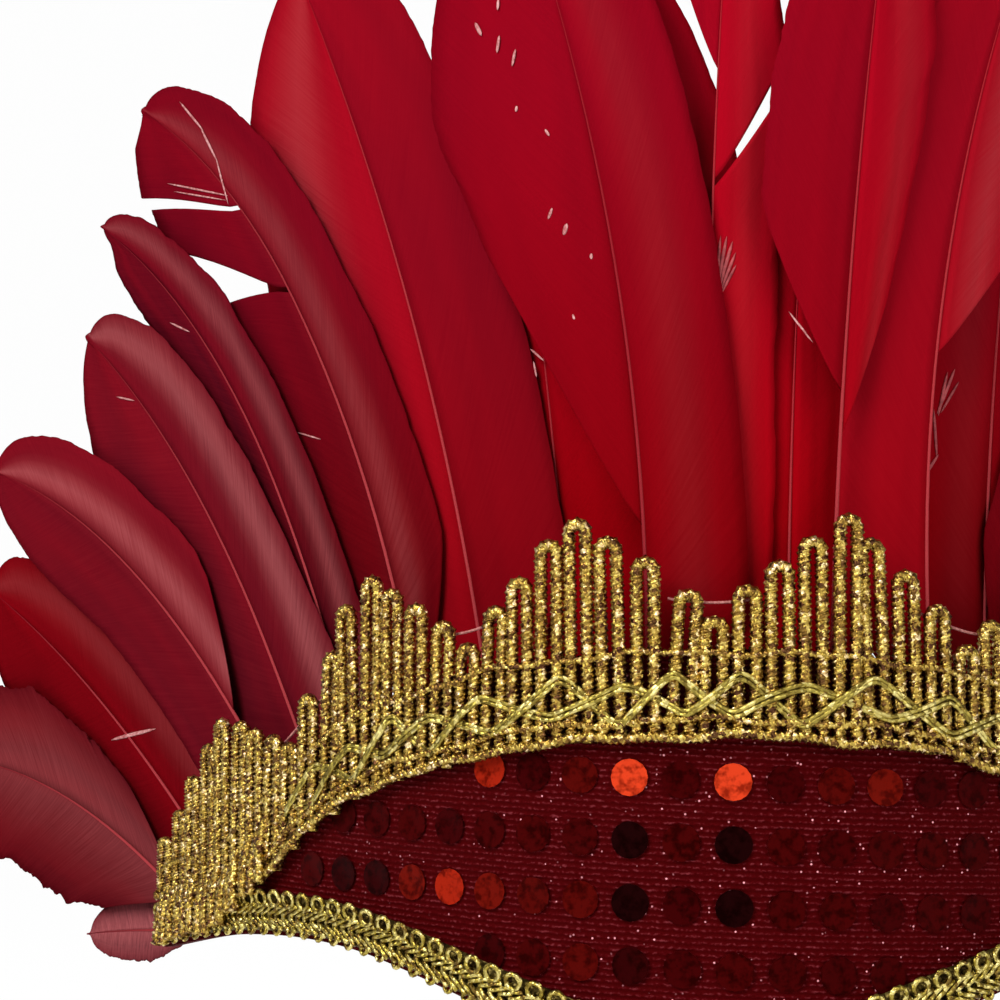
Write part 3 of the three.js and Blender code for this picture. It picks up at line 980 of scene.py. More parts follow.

# %% [markdown]
# A goose feather has a bent shaft with a vane on each side. A vane is not a sheet: it is a comb of
# barbs that grow out and forward from the shaft, hook together and part in places. Cutting a flat
# leaf would lose the ragged rim, so each barb is a row of points laid out by code, neighbouring rows
# are joined by faces, and where the vane has parted the faces are left out.

# %% The feather table
# Quill end along and height, lean at quill and tip in degrees, length, half width on the left and on
# the right, layer behind the panel, brightness of the dye (raised as painted light on the feathers that
# lie deep in the fan's shade), painted sheen, raggedness, which half is painted lit, place of the painted
# sheen band across the feather
FEATHER_COLUMNS = "along height quill_lean tip_lean length left right layer dye dust fray lit band"
Feather = namedtuple("Feather", FEATHER_COLUMNS)
FEATHERS = [Feather(*row) for row in [
    (-117, -6.5, -91, -98, 52, 6, 6, 1, 0.15, 0.75, 1.0, 0, 0.0),
    (-117, -5, -61, -91, 124, 21, 19, 0, 0.22, 0.3, 0.8, 0, 0.1),
    (-112, 2, -51, -69, 124, 22, 16, 1, 0.38, 0.15, 0.5, 0, 0.6),
    (-86.5, 14, -41, -77, 150, 17.5, 14.5, 0, 0.34, 0.55, 0.4, 0.2, 0.35),
    (-79.5, 14, -27, -58.5, 141, 25, 15.5, 1, 0.3, 0.55, 0.4, -0.2, 0.68),
    (-72.5, 16.5, -15, -63, 164, 11, 10, 2, 0.24, 0.34, 0.8, 0.0, 0.6),
    (-62, 34, -11.5, -62.5, 168, 23, 14, 3, 0.36, 0.2, 0.6, 0.0, 0.3),
    (-58, 28, -9, -34, 127, 14, 14, 5, 0.45, 0.05, 0.3, 0, 0),
    (-46, 29.5, -9, -33, 165, 39.5, 22.8, 4, 0.66, 0.2, 0.3, -0.75, -0.6),
    (-29, 26, -3, -12, 110, 12, 22, 5, 0.75, 0.0, 0.3, 0, 0),
    (-12, 24.5, 3.5, -21.5, 164, 33, 18, 1, 0.55, 0.05, 0.2, 0.0, 0.45),
    (3, 27, 8, -26, 145, 16, 10, 4, 0.8, 0.05, 0.4, 0, 0.2),
    (-0.5, 29.5, -1, 5, 153, 10, 12.5, 2, 0.8, 0.05, 0.6, 0.9, 0.5),
    (19.5, 31.5, 1.5, 9, 148, 16.5, 14.5, 0, 0.72, 0.08, 0.4, 0.8, 0.6),
    (14, 26, 0, 5, 100, 12, 14, 3, 0.85, 0.0, 0.3, 0, 0),
    (40.5, 30.5, -5.5, 26, 151, 17, 17, 1, 0.85, 0.2, 0.5, 0.6, 0.4),
    (57, 25, 0, 16, 164, 20, 22, 4, 0.65, 0.05, 0.4, 0.0, -0.3),
    (58, 28, 8, 36, 130, 14, 14, 5, 0.45, 0.05, 0.3, 0, 0),
    (62.5, 33, 11, 60, 166, 15, 23, 3, 0.38, 0.2, 0.5, 0.0, -0.3),
    (73, 17, 16, 61, 160, 10.5, 12, 2, 0.26, 0.55, 0.6, 0.0, -0.6),
    (80, 14, 28, 57, 140, 16, 22, 1, 0.3, 0.75, 0.4, 0.2, -0.68),
    (87, 14, 41, 75, 147, 15, 16, 0, 0.34, 0.5, 0.4, -0.2, -0.35),
    (112, 2, 52, 70, 120, 16, 20, 1, 0.36, 0.15, 0.5, 0, -0.6),
    (117, -5, 65, 90, 122, 14, 18, 0, 0.25, 0.4, 0.8, 0, -0.1),
    (117, -6.5, 93, 102, 50, 4.5, 3.5, 1, 0.45, 0.7, 1.0, 0, 0.0),
]]
LEFT, RIGHT = -1, 1
# Vanes that begin higher on the shaft: where they begin and where they are full
LATE_VANES = {
    (1, LEFT): (0.2, 0.5), (2, LEFT): (0.08, 0.45), (2, RIGHT): (0.1, 0.7), (4, RIGHT): (0.2, 0.41),
    (11, LEFT): (0.25, 0.77), (13, LEFT): (0.74, 0.89), (14, LEFT): (0.38, 0.6), (14, RIGHT): (0.33, 0.82),
    (16, RIGHT): (0.43, 0.55), (22, LEFT): (0.2, 0.41),
}
# Feather, side, place on the shaft and opening at the rim, of the wide partings
PARTINGS = [
    (7, LEFT, 0.55, 0.16), (7, LEFT, 0.7, 0.03),
    (13, RIGHT, 0.62, 0.03), (19, RIGHT, 0.58, 0.12),
]
# Vanes that are worn away towards the tip, from this part of the shaft on
WORN_VANES = {(6, LEFT): 0.84}
print("feathers", len(FEATHERS))

# %% [markdown]
# The shaft is an arc whose lean goes evenly from the quill to the tip. The width of the vane swells
# quickly above the quill, stays, and rounds off at the tip, as in the frame.

# %% Shaft and outline of a feather
VANE_START = 0.04
VANE_FULL = 0.18
VANE_SWELL = 0.6
TIP_START = 0.64
TIP_ROUNDING = 2.4
SHAFT_SAMPLES = 400


def vane_share(part, number, side):
    start, full = LATE_VANES.get((number, side), (VANE_START, VANE_FULL))
    swell = np.clip((part - start) / (full - start), 0, 1) ** VANE_SWELL
    tip = np.clip((part - TIP_START) / (1 - TIP_START), 0, 1)
    return swell * np.sqrt(1 - tip**TIP_ROUNDING)


def half_width(feather, side):
    return (feather.left if side == LEFT else feather.right) * MM


def shaft_places(feather, part):
    bend = feather.tip_lean - feather.quill_lean
    middles = (np.arange(SHAFT_SAMPLES) + 0.5) / SHAFT_SAMPLES
    lean = np.radians(feather.quill_lean + bend * middles)
    step = feather.length * MM / SHAFT_SAMPLES
    marks = np.linspace(0, 1, SHAFT_SAMPLES + 1)
    x = feather.along * MM + np.concatenate([[0], np.cumsum(np.sin(lean) * step)])
    z = feather.height * MM + np.concatenate([[0], np.cumsum(np.cos(lean) * step)])
    part_lean = np.radians(feather.quill_lean + bend * part)
    return np.interp(part, marks, x), np.interp(part, marks, z), part_lean


print("feather 1 ends at along, height and lean", shaft_places(FEATHERS[0], 1.0))

# %% [markdown]
# One vane is a table of points: a row for each barb, with its points from the shaft to the rim. The
# lowest barbs stand straight out and the others are swept towards the tip. A parting pushes the barbs
# on its two sides apart, more and more towards the rim. Neighbouring barbs hook together, so the rim
# wanders smoothly and is not cut barb by barb.

# %% The barbs of a vane
BARBS = 110
BARB_POINTS = 9
# In a vane as wide as SWEEP_WIDTH the barbs are swept by BARB_SWEEP of the shaft, in wider ones by more
BARB_SWEEP = 0.23
SWEEP_WIDTH = 18 * MM
SWEEP_FULL = 0.25
BARB_CURVE = 1.15
PARTING_FADE = 0.05
PARTING_ROOT = 0.12
PARTING_CURVE = 1.3
FRAY_SPAN = 9
FRAY = 0.1
WORN_FADE = 0.05
WORN_SHARE = 0.5
WORN_WANDER = 0.3
FIRST_BARB = 0.004
LAST_BARB = 0.997
NEAR_TIP = 0.9995

across = np.linspace(0, 1, BARB_POINTS)


def barb_roots(number, side):
    start = LATE_VANES.get((number, side), (VANE_START,))[0]
    return np.linspace(start + FIRST_BARB, LAST_BARB, BARBS)


def rim_reach(number, side, roots, sweep, luck):
    wander = np.convolve(luck.normal(0, 1, BARBS + FRAY_SPAN - 1), np.ones(FRAY_SPAN) / FRAY_SPAN, "valid")
    rim = vane_share(np.clip(roots + sweep, 0, NEAR_TIP), number, side)
    rim = rim * (1 + FEATHERS[number - 1].fray * FRAY * wander)
    if (number, side) in WORN_VANES:
        past = roots + WORN_WANDER * WORN_FADE * wander - WORN_VANES[number, side]
        rim = rim * (1 - (1 - WORN_SHARE) * np.clip(past / WORN_FADE, 0, 1))
    return rim


def barb_layout(number, side, partings, luck):
    feather = FEATHERS[number - 1]
    width = half_width(feather, side)
    roots = barb_roots(number, side)
    room = 1 - roots
    swept = np.full(BARBS, BARB_SWEEP * width / SWEEP_WIDTH)
    if (number, side) not in LATE_VANES:
        swept = swept * np.clip((roots - VANE_START) / SWEEP_FULL, 0, 1)
    sweep = room * (1 - np.exp(-swept / room))
    part = roots[:, None] + sweep[:, None] * across**BARB_CURVE
    for place, opening in partings:
        spread = np.clip((across - PARTING_ROOT) / (1 - PARTING_ROOT), 0, 1) ** PARTING_CURVE
        push = np.sign(roots - place) * np.exp(-np.abs(roots - place) / (PARTING_FADE + opening))
        part = part + opening / 2 * push[:, None] * spread
    part = np.clip(part, 0, NEAR_TIP)
    reach = side * width * rim_reach(number, side, roots, sweep, luck)[:, None] * across
    x, z, lean = shaft_places(feather, part)
    return roots, x + np.cos(lean) * reach, z - np.sin(lean) * reach


print("barbs of a vane", BARBS, "points of a barb", BARB_POINTS)

# %% [markdown]
# Feathers that lie close together shade each other softly at their rims. The layers here are nearer
# than real ones, so part of that shade goes into the dye: each point looks up how near it is to the
# outline of a feather in front of it.

# %% Shade under the feathers in front
SHADE_REACH = 5 * MM
SHADE_DEPTH = 0.11
SHADE_SAMPLES = np.linspace(0.08, 0.96, 50)


def overlap_shade(x, z, layer):
    painted_light = np.zeros(x.shape)
    for number, other in enumerate(FEATHERS, start=1):
        if other.layer >= layer:
            continue
        shaft_x, shaft_z, lean = shaft_places(other, SHADE_SAMPLES)
        right = x[..., None] - shaft_x
        up = z[..., None] - shaft_z
        aside = right * np.cos(lean) - up * np.sin(lean)
        left_width = half_width(other, LEFT) * vane_share(SHADE_SAMPLES, number, LEFT)
        right_width = half_width(other, RIGHT) * vane_share(SHADE_SAMPLES, number, RIGHT)
        clear = np.hypot(right, up) - np.where(aside < 0, left_width, right_width)
        painted_light = np.maximum(painted_light, np.exp(-np.maximum(clear.min(axis=-1), 0) / SHADE_REACH))
    return painted_light


print("places looked up on each shaft", len(SHADE_SAMPLES))

# %% [markdown]
# The vane falls back from the shaft like a low roof. Its map runs from -1 at the left rim to 1 at the
# right rim, and along the shaft, so that streaks can follow the barbs. A colour attribute carries the
# brightness of the dye with painted light and shade on it: the lit half lighter, painted shade towards
# the quill and lighter towards the tip, and painted shade under the feathers in front. It also carries a
# painted sheen, which lies in a band along the feather, and how crimson it is.

# %% One vane
PANEL_HALF_WALL = 1.2 * MM
PIECE_GAP = 0.35 * MM
LAYER_PITCH = 2.4 * MM
ROOF_FALL = 1.1 * MM
ROOF_CURVE = 1.4
LIT_STEP = 0.16
# Painted shade towards the quill, near the braid, and painted light towards the tip
LENGTH_SHADE_STEP = 0.15
BAND_WIDTH = 0.2
# Feathers whose painted sheen spreads over most of their width
BROAD_BANDS = {1: 0.9, 2: 0.6, 24: 0.6, 25: 0.9}
BAND_FLOOR = 0.07
BLOOM_LOW = 70 * MM
BLOOM_HIGH = 150 * MM
# More crimson where the painted sheen is stronger
SHEEN_CRIMSON = 1.6


def feather_front(feather):
    return -(PANEL_HALF_WALL + PIECE_GAP + feather.layer * LAYER_PITCH)


def vane_colour_and_light(number, side, roots, x, z):
    feather = FEATHERS[number - 1]
    band_width = BROAD_BANDS.get(number, BAND_WIDTH)
    band = np.exp(-(((side * across - feather.band) / band_width) ** 2))
    bloom = np.clip((z - BLOOM_LOW) / (BLOOM_HIGH - BLOOM_LOW), 0, 1)
    finish = np.zeros((BARBS, BARB_POINTS, 4))
    # Dye with painted light on the lit half and along the length, less painted shade from feathers in front
    finish[..., 0] = feather.dye + LIT_STEP * side * feather.lit + LENGTH_SHADE_STEP * (roots[:, None] - 0.5)
    finish[..., 0] -= SHADE_DEPTH * overlap_shade(x, z, feather.layer)
    # Painted sheen, strongest in a band along the feather
    finish[..., 1] = feather.dust * (BAND_FLOOR + (1 - BAND_FLOOR) * band)
    finish[..., 3] = np.clip(SHEEN_CRIMSON * feather.dust + bloom, 0, 1)
    return finish.ravel()


def vane_mesh(name, number, side, partings, luck):
    feather = FEATHERS[number - 1]
    roots, x, z = barb_layout(number, side, partings, luck)
    out = feather_front(feather) - ROOF_FALL * np.broadcast_to(across**ROOF_CURVE, x.shape)
    places = np.stack([x, -out, z], axis=-1).reshape(-1, 3)
    cuts = {int(np.searchsorted(roots, place)) for place, _ in partings}
    faces = []
    for row in range(BARBS - 1):
        for column in range(BARB_POINTS - 1):
            if row + 1 in cuts and across[column + 1] > PARTING_ROOT:
                continue
            first = row * BARB_POINTS + column
            second = first + BARB_POINTS
            quad = (first, first + 1, second + 1, second)
            faces.append(quad if side == RIGHT else quad[::-1])
    mesh = bpy.data.meshes.new(name)
    mesh.from_pydata(places.tolist(), [], faces)
    along_shaft = number + roots * feather.length * MM / CLOTH_UNIT
    mapped = np.stack(np.broadcast_arrays(side * across, along_shaft[:, None]), axis=-1).reshape(-1, 2)
    corners = np.empty(len(mesh.loops), dtype=int)
    mesh.loops.foreach_get("vertex_index", corners)
    mesh.uv_layers.new(name="UVMap").data.foreach_set("uv", mapped[corners].ravel())
    finish = mesh.color_attributes.new("finish", "FLOAT_COLOR", "POINT")
    finish.data.foreach_set("color", vane_colour_and_light(number, side, roots, x, z))
    vane = bpy.data.objects.new(name, mesh)
    bpy.context.scene.collection.objects.link(vane)
    return vane


print("front of feather 2", feather_front(FEATHERS[1]))

# %% [markdown]
# The shaft is a thin cone: a ring is drawn out along X in many steps, its points are drawn in towards
# the tip, and a guide bends it. It lies in the front of the roof, where the two vanes meet.

# %% One shaft
SHAFT_STATIONS = 26
QUILL_RADIUS = 0.42 * MM
SHAFT_TIP_SHARE = 0.2
SHAFT_PROUD = 0.15 * MM
SHAFT_END = 0.985
SHAFT_FADE = 0.8
# Shafts that are less pale than the others, as a share
FAINT_SHAFTS = {11: 0.5}


def shaft_mesh(name, number):
    feather = FEATHERS[number - 1]
    front = feather_front(feather)
    parts = np.linspace(0, SHAFT_END, SHAFT_STATIONS)
    x, z, _ = shaft_places(feather, parts)
    places = np.column_stack([x, z, np.full(SHAFT_STATIONS, front + SHAFT_PROUD - QUILL_RADIUS / 2)])
    length = line_length(places)
    shaft = twisted_cord(name, length, QUILL_RADIUS, 1.0, length / SHAFT_STATIONS, 1, False)
    spots = points_of(shaft)
    taper = 1 - (1 - SHAFT_TIP_SHARE) * np.clip(spots[:, 0] / length, 0, 1)
    spots[:, 1] *= taper
    spots[:, 2] *= taper
    set_points(shaft, spots)
    pale = (1 - np.clip(spots[:, 0] / length, 0, 1)) ** SHAFT_FADE
    colours = np.ones((len(spots), 4)) * (feather.dye, feather.dust * BAND_FLOOR, 1, 1)
    colours[:, 2] = pale * FAINT_SHAFTS.get(number, 1)
    finish = shaft.data.color_attributes.new("finish", "FLOAT_COLOR", "POINT")
    finish.data.foreach_set("color", colours.ravel())
    bend_on_line(shaft, places)
    stand_up(shaft)
    return shaft


print("stations of a shaft", SHAFT_STATIONS)

# %% [markdown]
# Now every feather is put together: two vanes, thickened a little, and a shaft. The colour attribute
# carries the brightness of the dye with its painted light and shade, the painted sheen, how pale the shaft
# is and how crimson the vane is, so one material serves all the feathers. The feather is bent round the
# brow last.

# %% All the feathers
VANE_THICKNESS = 0.22 * MM
FEATHER_SEED = 100
feathers = []
for number in range(1, len(FEATHERS) + 1):
    luck = np.random.default_rng(FEATHER_SEED + number)
    halves = []
    for side in (LEFT, RIGHT):
        partings = [row[2:] for row in PARTINGS if row[:2] == (number, side)]
        half = vane_mesh(f"vane_{number}_{side}", number, side, partings, luck)
        thicken(half, VANE_THICKNESS, offset=-1)
        halves.append(half)
    shaft = shaft_mesh(f"shaft_{number}", number)
    whole = join([*halves, shaft], f"red_feather_{number:02d}")
    bend_along(whole, brow_guide)
    smooth(whole)
    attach(whole, "root")
    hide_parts(f"feather_{number:02d}")
    feathers.append(whole)
print("feather triangles", sum(triangle_count(piece) for piece in feathers))

# %% [markdown]
# Dyed feather is a soft satin. Long bands of light and dark run beside the shaft: they are painted light
# and painted shade in the colour, and a bump bends the vane a little along them. Very fine streaks follow
# the barbs. The outer feathers have a painted pink sheen in bands. The shaft takes less dye, so it is a
# pale pink line.

# %% The dye of the feathers, with painted light and shade
STREAK_STRETCH = (0.7, 75.0, 1.0)
FOLD_STRETCH = (1.5, 0.75, 1.0)
STREAK_SHARE = 0.06
# How much the long folds paint light and shade into the colour
FOLD_LIGHT_SHARE = 0.12
DYE_STOPS = [(0.12, (0.03, 0.0001, 0.0003)), (1.0, (0.3, 0.0008, 0.004))]

plume, plume_tree, plume_shader = new_material("feather_red")
plume_finish = new_node(plume_tree, "ShaderNodeAttribute", attribute_name="finish")
plume_parts = plume_tree.nodes.new("ShaderNodeSeparateColor")
link(plume_tree, plume_finish, "Color", plume_parts, "Color")
plume_map = new_node(plume_tree, "ShaderNodeUVMap", uv_map="UVMap")
plume_stretch = stretch_map(plume_tree, plume_map, STREAK_STRETCH)
plume_streak = grain_on(plume_tree, plume_stretch, "Vector", scale=2.2, detail=4.0)
plume_lengthen = stretch_map(plume_tree, plume_map, FOLD_STRETCH)
plume_fold = grain_on(plume_tree, plume_lengthen, "Vector", scale=1.5, detail=1.5)
plume_sum = math_on(plume_tree, "MULTIPLY_ADD", (plume_streak, "Shade"), STREAK_SHARE, (plume_parts, "Red"))
plume_lit_total = math_on(plume_tree, "MULTIPLY_ADD", (plume_fold, "Shade"), FOLD_LIGHT_SHARE, (plume_sum, "Value"))
plume_lit_dye = ramp_on(plume_tree, plume_lit_total, "Value", DYE_STOPS)
print("material", plume.name)

# %% [markdown]
# Over the dye come a touch of crimson, the painted sheen, broken up by the streaks, and the pale shaft.
# The attribute says how much of each there is. The gloss varies with the streaks, and two bumps are
# stacked: the long folds of the vane and the fine barbs on them.

# %% The sheen and the gloss of the feathers
CRIMSON = (0.002, 0.0006, 0.0048, 1)
# Colour of the painted sheen
SHEEN_PAINT_COLOUR = (0.39, 0.1, 0.105, 1)
RACHIS = (0.36, 0.045, 0.05, 1)

plume_crimson = mix_on(plume_tree, "ADD", (plume_finish, "Alpha"), (plume_lit_dye, "Color"), CRIMSON)
plume_sheen_fibre = range_on(plume_tree, plume_streak, "Shade", 0.5, 1.0)
plume_sheen_share = math_on(plume_tree, "MULTIPLY", (plume_parts, "Green"), (plume_sheen_fibre, "Result"))
plume_sheen = mix_on(plume_tree, "MIX", (plume_sheen_share, "Value"), (plume_crimson, MIX_RESULT), SHEEN_PAINT_COLOUR)
plume_rachis = mix_on(plume_tree, "MIX", (plume_parts, "Blue"), (plume_sheen, MIX_RESULT), RACHIS)
link(plume_tree, plume_rachis, MIX_RESULT, plume_shader, "Base Color")
roughen(plume_tree, plume_shader, plume_streak, "Shade", 0.36, 0.5)
set_inputs(plume_shader, Specular_IOR_Level=0.0)
plume_folds = add_bump(plume_tree, plume_shader, plume_fold, "Height", strength=0.3, distance=2.5 * MM)
plume_barbs = add_bump(plume_tree, plume_shader, plume_streak, "Height", strength=0.15, distance=0.2 * MM)
link(plume_tree, plume_folds, "Normal", plume_barbs, "Normal")
for piece in feathers:
    piece.data.materials.append(plume)
print("feathers with the finish", len(feathers))

# %% [markdown]
# Bits of pale down and broken barbs cling to the feathers, and a few scraps of torn vane show pink. The
# pink fan on feather 13 is a painted highlight drawn the same way. Each one is a short spindle: a ring
# drawn out in a few steps, pointed at both ends and pressed flat. It lies on the front of its feather, so
# its depth is looked up from the roof of the vane.

# %% The places of the flecks
# Feather, place along and up, length, lean in degrees and half width, in millimetres
PALE_FLECKS = [
    (3, -150.5, 31, 18, 82, 0.4),
    (5, -155.5, 100.5, 8, -78, 0.2),
    (6, -138, 113.5, 9, -70, 0.2),
    (7, -139, 158, 13, -51, 0.28),
    (7, -131.5, 150.5, 11.5, -40, 0.32),
    (7, -126, 142, 12, -26, 0.28),
    (7, -136, 142, 26, -74, 0.2),
    (7, -135, 140.5, 22, -75, 0.16),
    (7, -94.5, 87.5, 9, -76, 0.16),
    (9, -37, 97.5, 4, -55, 0.22),
    (9, -37.5, 95, 3, -15, 0.25),
    (11, -40, 158, 2, 5, 0.3),
    (11, -44.5, 154.5, 3, -30, 0.4),
    (11, -40, 151, 3, 10, 0.35),
    (11, -36.5, 148, 3, 15, 0.3),
    (11, -36, 139, 1, 10, 0.3),
    (11, -29.5, 134, 1.5, -35, 0.25),
    (11, -29, 120, 2, 25, 0.3),
    (11, -26, 117, 2, 20, 0.45),
    (11, -21, 112, 1, 0, 0.3),
    (11, -24.5, 102, 1, -20, 0.25),
    (14, 15.5, 99, 6.5, -38, 0.18),
]
# Pink scraps of torn vane; the five on feather 13 are a painted highlight
PINK_FLECKS = [
    (13, 1.6, 110, 10, 6, 0.3),
    (13, 2.2, 110, 10, 12, 0.35),
    (13, 2.8, 109.5, 9.5, 18, 0.35),
    (13, 3.2, 108.5, 8, 24, 0.3),
    (13, 3.4, 107.5, 6, 30, 0.25),
    (17, 50, 91, 9, 27, 0.35),
    (17, 49.3, 90.5, 8, 16, 0.35),
    (17, 50.8, 90, 7, 36, 0.25),
    (17, 47.5, 83.5, 8.5, -3, 0.3),
    (17, 46.5, 78, 5, 39, 0.3),
]
print("flecks to make", len(PALE_FLECKS) + len(PINK_FLECKS))

# %% The flecks on the feathers
FLECK_STEPS = 8
FLECK_FLATNESS = 0.3
FLECK_LIFT = 0.12 * MM
# Bluntness of the ends of a fleck, where 0 is a sharp point
FLECK_END = 0.12


def vane_front(number, x, z):
    feather = FEATHERS[number - 1]
    shaft_x, shaft_z, lean = shaft_places(feather, SHADE_SAMPLES)
    nearest = int(np.argmin(np.hypot(x - shaft_x, z - shaft_z)))
    right, up = x - shaft_x[nearest], z - shaft_z[nearest]
    aside = right * math.cos(lean[nearest]) - up * math.sin(lean[nearest])
    side = LEFT if aside < 0 else RIGHT
    width = half_width(feather, side) * vane_share(SHADE_SAMPLES[nearest], number, side)
    return feather_front(feather) - ROOF_FALL * min(abs(aside) / width, 1) ** ROOF_CURVE


def fleck(name, row, finish):
    number, along, up, length, lean, thickness = row
    reach = length * MM * np.linspace(-0.5, 0.5, FLECK_STEPS + 1)
    x = along * MM + math.sin(math.radians(lean)) * reach
    z = up * MM + math.cos(math.radians(lean)) * reach
    places = np.column_stack([x, z, [vane_front(number, *spot) + FLECK_LIFT for spot in zip(x, z)]])
    length = line_length(places)
    step = length / FLECK_STEPS
    spindle = twisted_cord(name, length, thickness * MM, FLECK_FLATNESS, step, 1, False, finish)
    spots = points_of(spindle)
    swell = np.sqrt(np.clip(1 - (2 * spots[:, :1] / length - 1) ** 2, 0, 1))
    spots[:, 1:] *= (FLECK_END + swell) / (1 + FLECK_END)
    set_points(spindle, spots)
    bend_on_line(spindle, places)
    return spindle


pale_down = fibre_finish("pale_down", 900.0, (0.34, 0.07, 0.07), (0.62, 0.3, 0.29), 0.6, 0.8)
pink_vane_and_highlight = fibre_finish("pink_vane_and_highlight", 900.0, (0.2, 0.012, 0.016), (0.42, 0.06, 0.065), 0.6, 0.8)
flecks = [fleck(f"pale_{order}", row, pale_down) for order, row in enumerate(PALE_FLECKS)]
flecks += [fleck(f"pink_{order}", row, pink_vane_and_highlight) for order, row in enumerate(PINK_FLECKS)]
feather_flecks = join(flecks, "feather_flecks")
lay_on_brow(feather_flecks)
smooth(feather_flecks)
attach(feather_flecks, "root")
print("flecks", len(flecks), "triangles", triangle_count(feather_flecks))

# %% [markdown]
# A flat black elastic joins the ends of the panel round the back of the head. It is a woven band, so
# a flat grid with shallow lengthwise ribs is thickened and bent along a line. The line is read from
# the frame's own elastic, so the band lies exactly in it.

# %% The back elastic
ELASTIC_WIDTH = 12 * MM
ELASTIC_THICKNESS = 0.9 * MM
ELASTIC_COLUMNS = 220
ELASTIC_ROWS = 28
ELASTIC_RIBS = 7
ELASTIC_RIB_DEPTH = 0.12 * MM
ELASTIC_MIDDLE_Y = 0.03

elastic_frame = points_of(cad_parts["back_elastic"])
rim_points = np.unique(np.round(elastic_frame[elastic_frame[:, 2] > 0], 6), axis=0)
round_back = np.arctan2(-rim_points[:, 0], rim_points[:, 1] - ELASTIC_MIDDLE_Y)
rim_points = rim_points[np.argsort(round_back)]
elastic_line = rim_points.reshape(-1, 2, 3).mean(axis=1)
elastic_line[:, 2] = 0
elastic_length = line_length(elastic_line)

elastic = flat_grid("elastic_band", ELASTIC_COLUMNS, ELASTIC_ROWS)
spots = points_of(elastic)
ribs = ELASTIC_RIB_DEPTH * np.cos(math.tau * ELASTIC_RIBS * spots[:, 1])
set_points(elastic, np.column_stack([
    (spots[:, 0] + 0.5) * elastic_length,
    ribs,
    spots[:, 1] * ELASTIC_WIDTH,
]))
thicken(elastic, ELASTIC_THICKNESS, offset=0)
bend_on_line(elastic, elastic_line)
print("elastic length", elastic_length)
print("elastic box", points_of(elastic).min(axis=0), points_of(elastic).max(axis=0))

# %% [markdown]
# The elastic is matt black. A wave across its own map gives the weave, and the fibre grain varies its
# colour and its roughness.

# %% The elastic material
WEBBING_STOPS = [(0.2, (0.006, 0.006, 0.007)), (0.9, (0.03, 0.029, 0.032))]

webbing, webbing_tree, webbing_shader = new_material("black_elastic")
webbing_map = new_node(webbing_tree, "ShaderNodeUVMap", uv_map="UVMap")
webbing_scale = stretch_map(webbing_tree, webbing_map, (elastic_length / ELASTIC_WIDTH, 1.0, 1.0))
webbing_weave = new_node(webbing_tree, "ShaderNodeTexWave", wave_type="BANDS", bands_direction="X")
set_inputs(webbing_weave, Scale=5.0, Distortion=1.2, Detail=2.0)
link(webbing_tree, webbing_scale, "Vector", webbing_weave, "Vector")
webbing_fibre = grain_on(webbing_tree, webbing_scale, "Vector", scale=45.0, detail=3.0)
webbing_colour = ramp_on(webbing_tree, webbing_fibre, "Shade", WEBBING_STOPS)
link(webbing_tree, webbing_colour, "Color", webbing_shader, "Base Color")
roughen(webbing_tree, webbing_shader, webbing_fibre, "Shade", 0.7, 0.9)
set_inputs(webbing_shader, Sheen_Weight=0.3)
add_bump(webbing_tree, webbing_shader, webbing_weave, "Fac", strength=0.5, distance=0.25 * MM)
elastic.data.materials.append(webbing)
smooth(elastic, angle=50)
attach(elastic, "root")
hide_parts("back_elastic")
bpy.data.objects.remove(brow_guide)
print("material", webbing.name)

# %% [markdown]
# The stage is a pale floor that sweeps up into a backdrop far behind, so that no corner shows. It is
# a plane whose far edge is drawn up and rounded with a bevel.

# %% The floor and backdrop
FLOOR_HEIGHT = -0.16
FLOOR_SIZE = 8.0
FLOOR_MIDDLE_Y = -0.5
BACKDROP_HEIGHT = 4.0
SWEEP_RADIUS = 1.2
SWEEP_SEGMENTS = 16
EDGE_TOLERANCE = 0.01

bpy.ops.object.select_all(action="DESELECT")
bpy.ops.mesh.primitive_plane_add(size=FLOOR_SIZE, location=(0, FLOOR_MIDDLE_Y, FLOOR_HEIGHT))
floor = added("floor")
apply_place(floor)
far_edge = FLOOR_MIDDLE_Y + FLOOR_SIZE / 2
bpy.ops.object.mode_set(mode="EDIT")
bpy.ops.mesh.select_mode(type="EDGE")
bpy.ops.mesh.select_all(action="DESELECT")
bpy.ops.object.mode_set(mode="OBJECT")
for line in floor.data.edges:
    line.select = all(abs(floor.data.vertices[i].co.y - far_edge) < EDGE_TOLERANCE for i in line.vertices)
bpy.ops.object.mode_set(mode="EDIT")
bpy.ops.mesh.extrude_region_move(TRANSFORM_OT_translate={"value": (0, 0, BACKDROP_HEIGHT)})
bpy.ops.mesh.select_all(action="DESELECT")
bpy.ops.object.mode_set(mode="OBJECT")
low = FLOOR_HEIGHT + EDGE_TOLERANCE
for line in floor.data.edges:
    ends = [floor.data.vertices[i].co for i in line.vertices]
    line.select = all(abs(end.y - far_edge) < EDGE_TOLERANCE and end.z < low for end in ends)
bpy.ops.object.mode_set(mode="EDIT")
bpy.ops.mesh.bevel(offset=SWEEP_RADIUS, segments=SWEEP_SEGMENTS)
bpy.ops.object.mode_set(mode="OBJECT")
bpy.ops.object.shade_smooth()
print("floor at", FLOOR_HEIGHT)

# %% [markdown]
# The floor is pale paper with a faint grain. The camera sees it nearly white, because it glows for the
# camera's rays only, so the glow casts no light on the object.

# %% The paper of the floor
PAPER_GLOW = 0.95
PAPER_BRIGHTNESS = 1.02
PAPER_STOPS = [(0.0, (0.86, 0.86, 0.86)), (1.0, (0.9, 0.9, 0.9))]

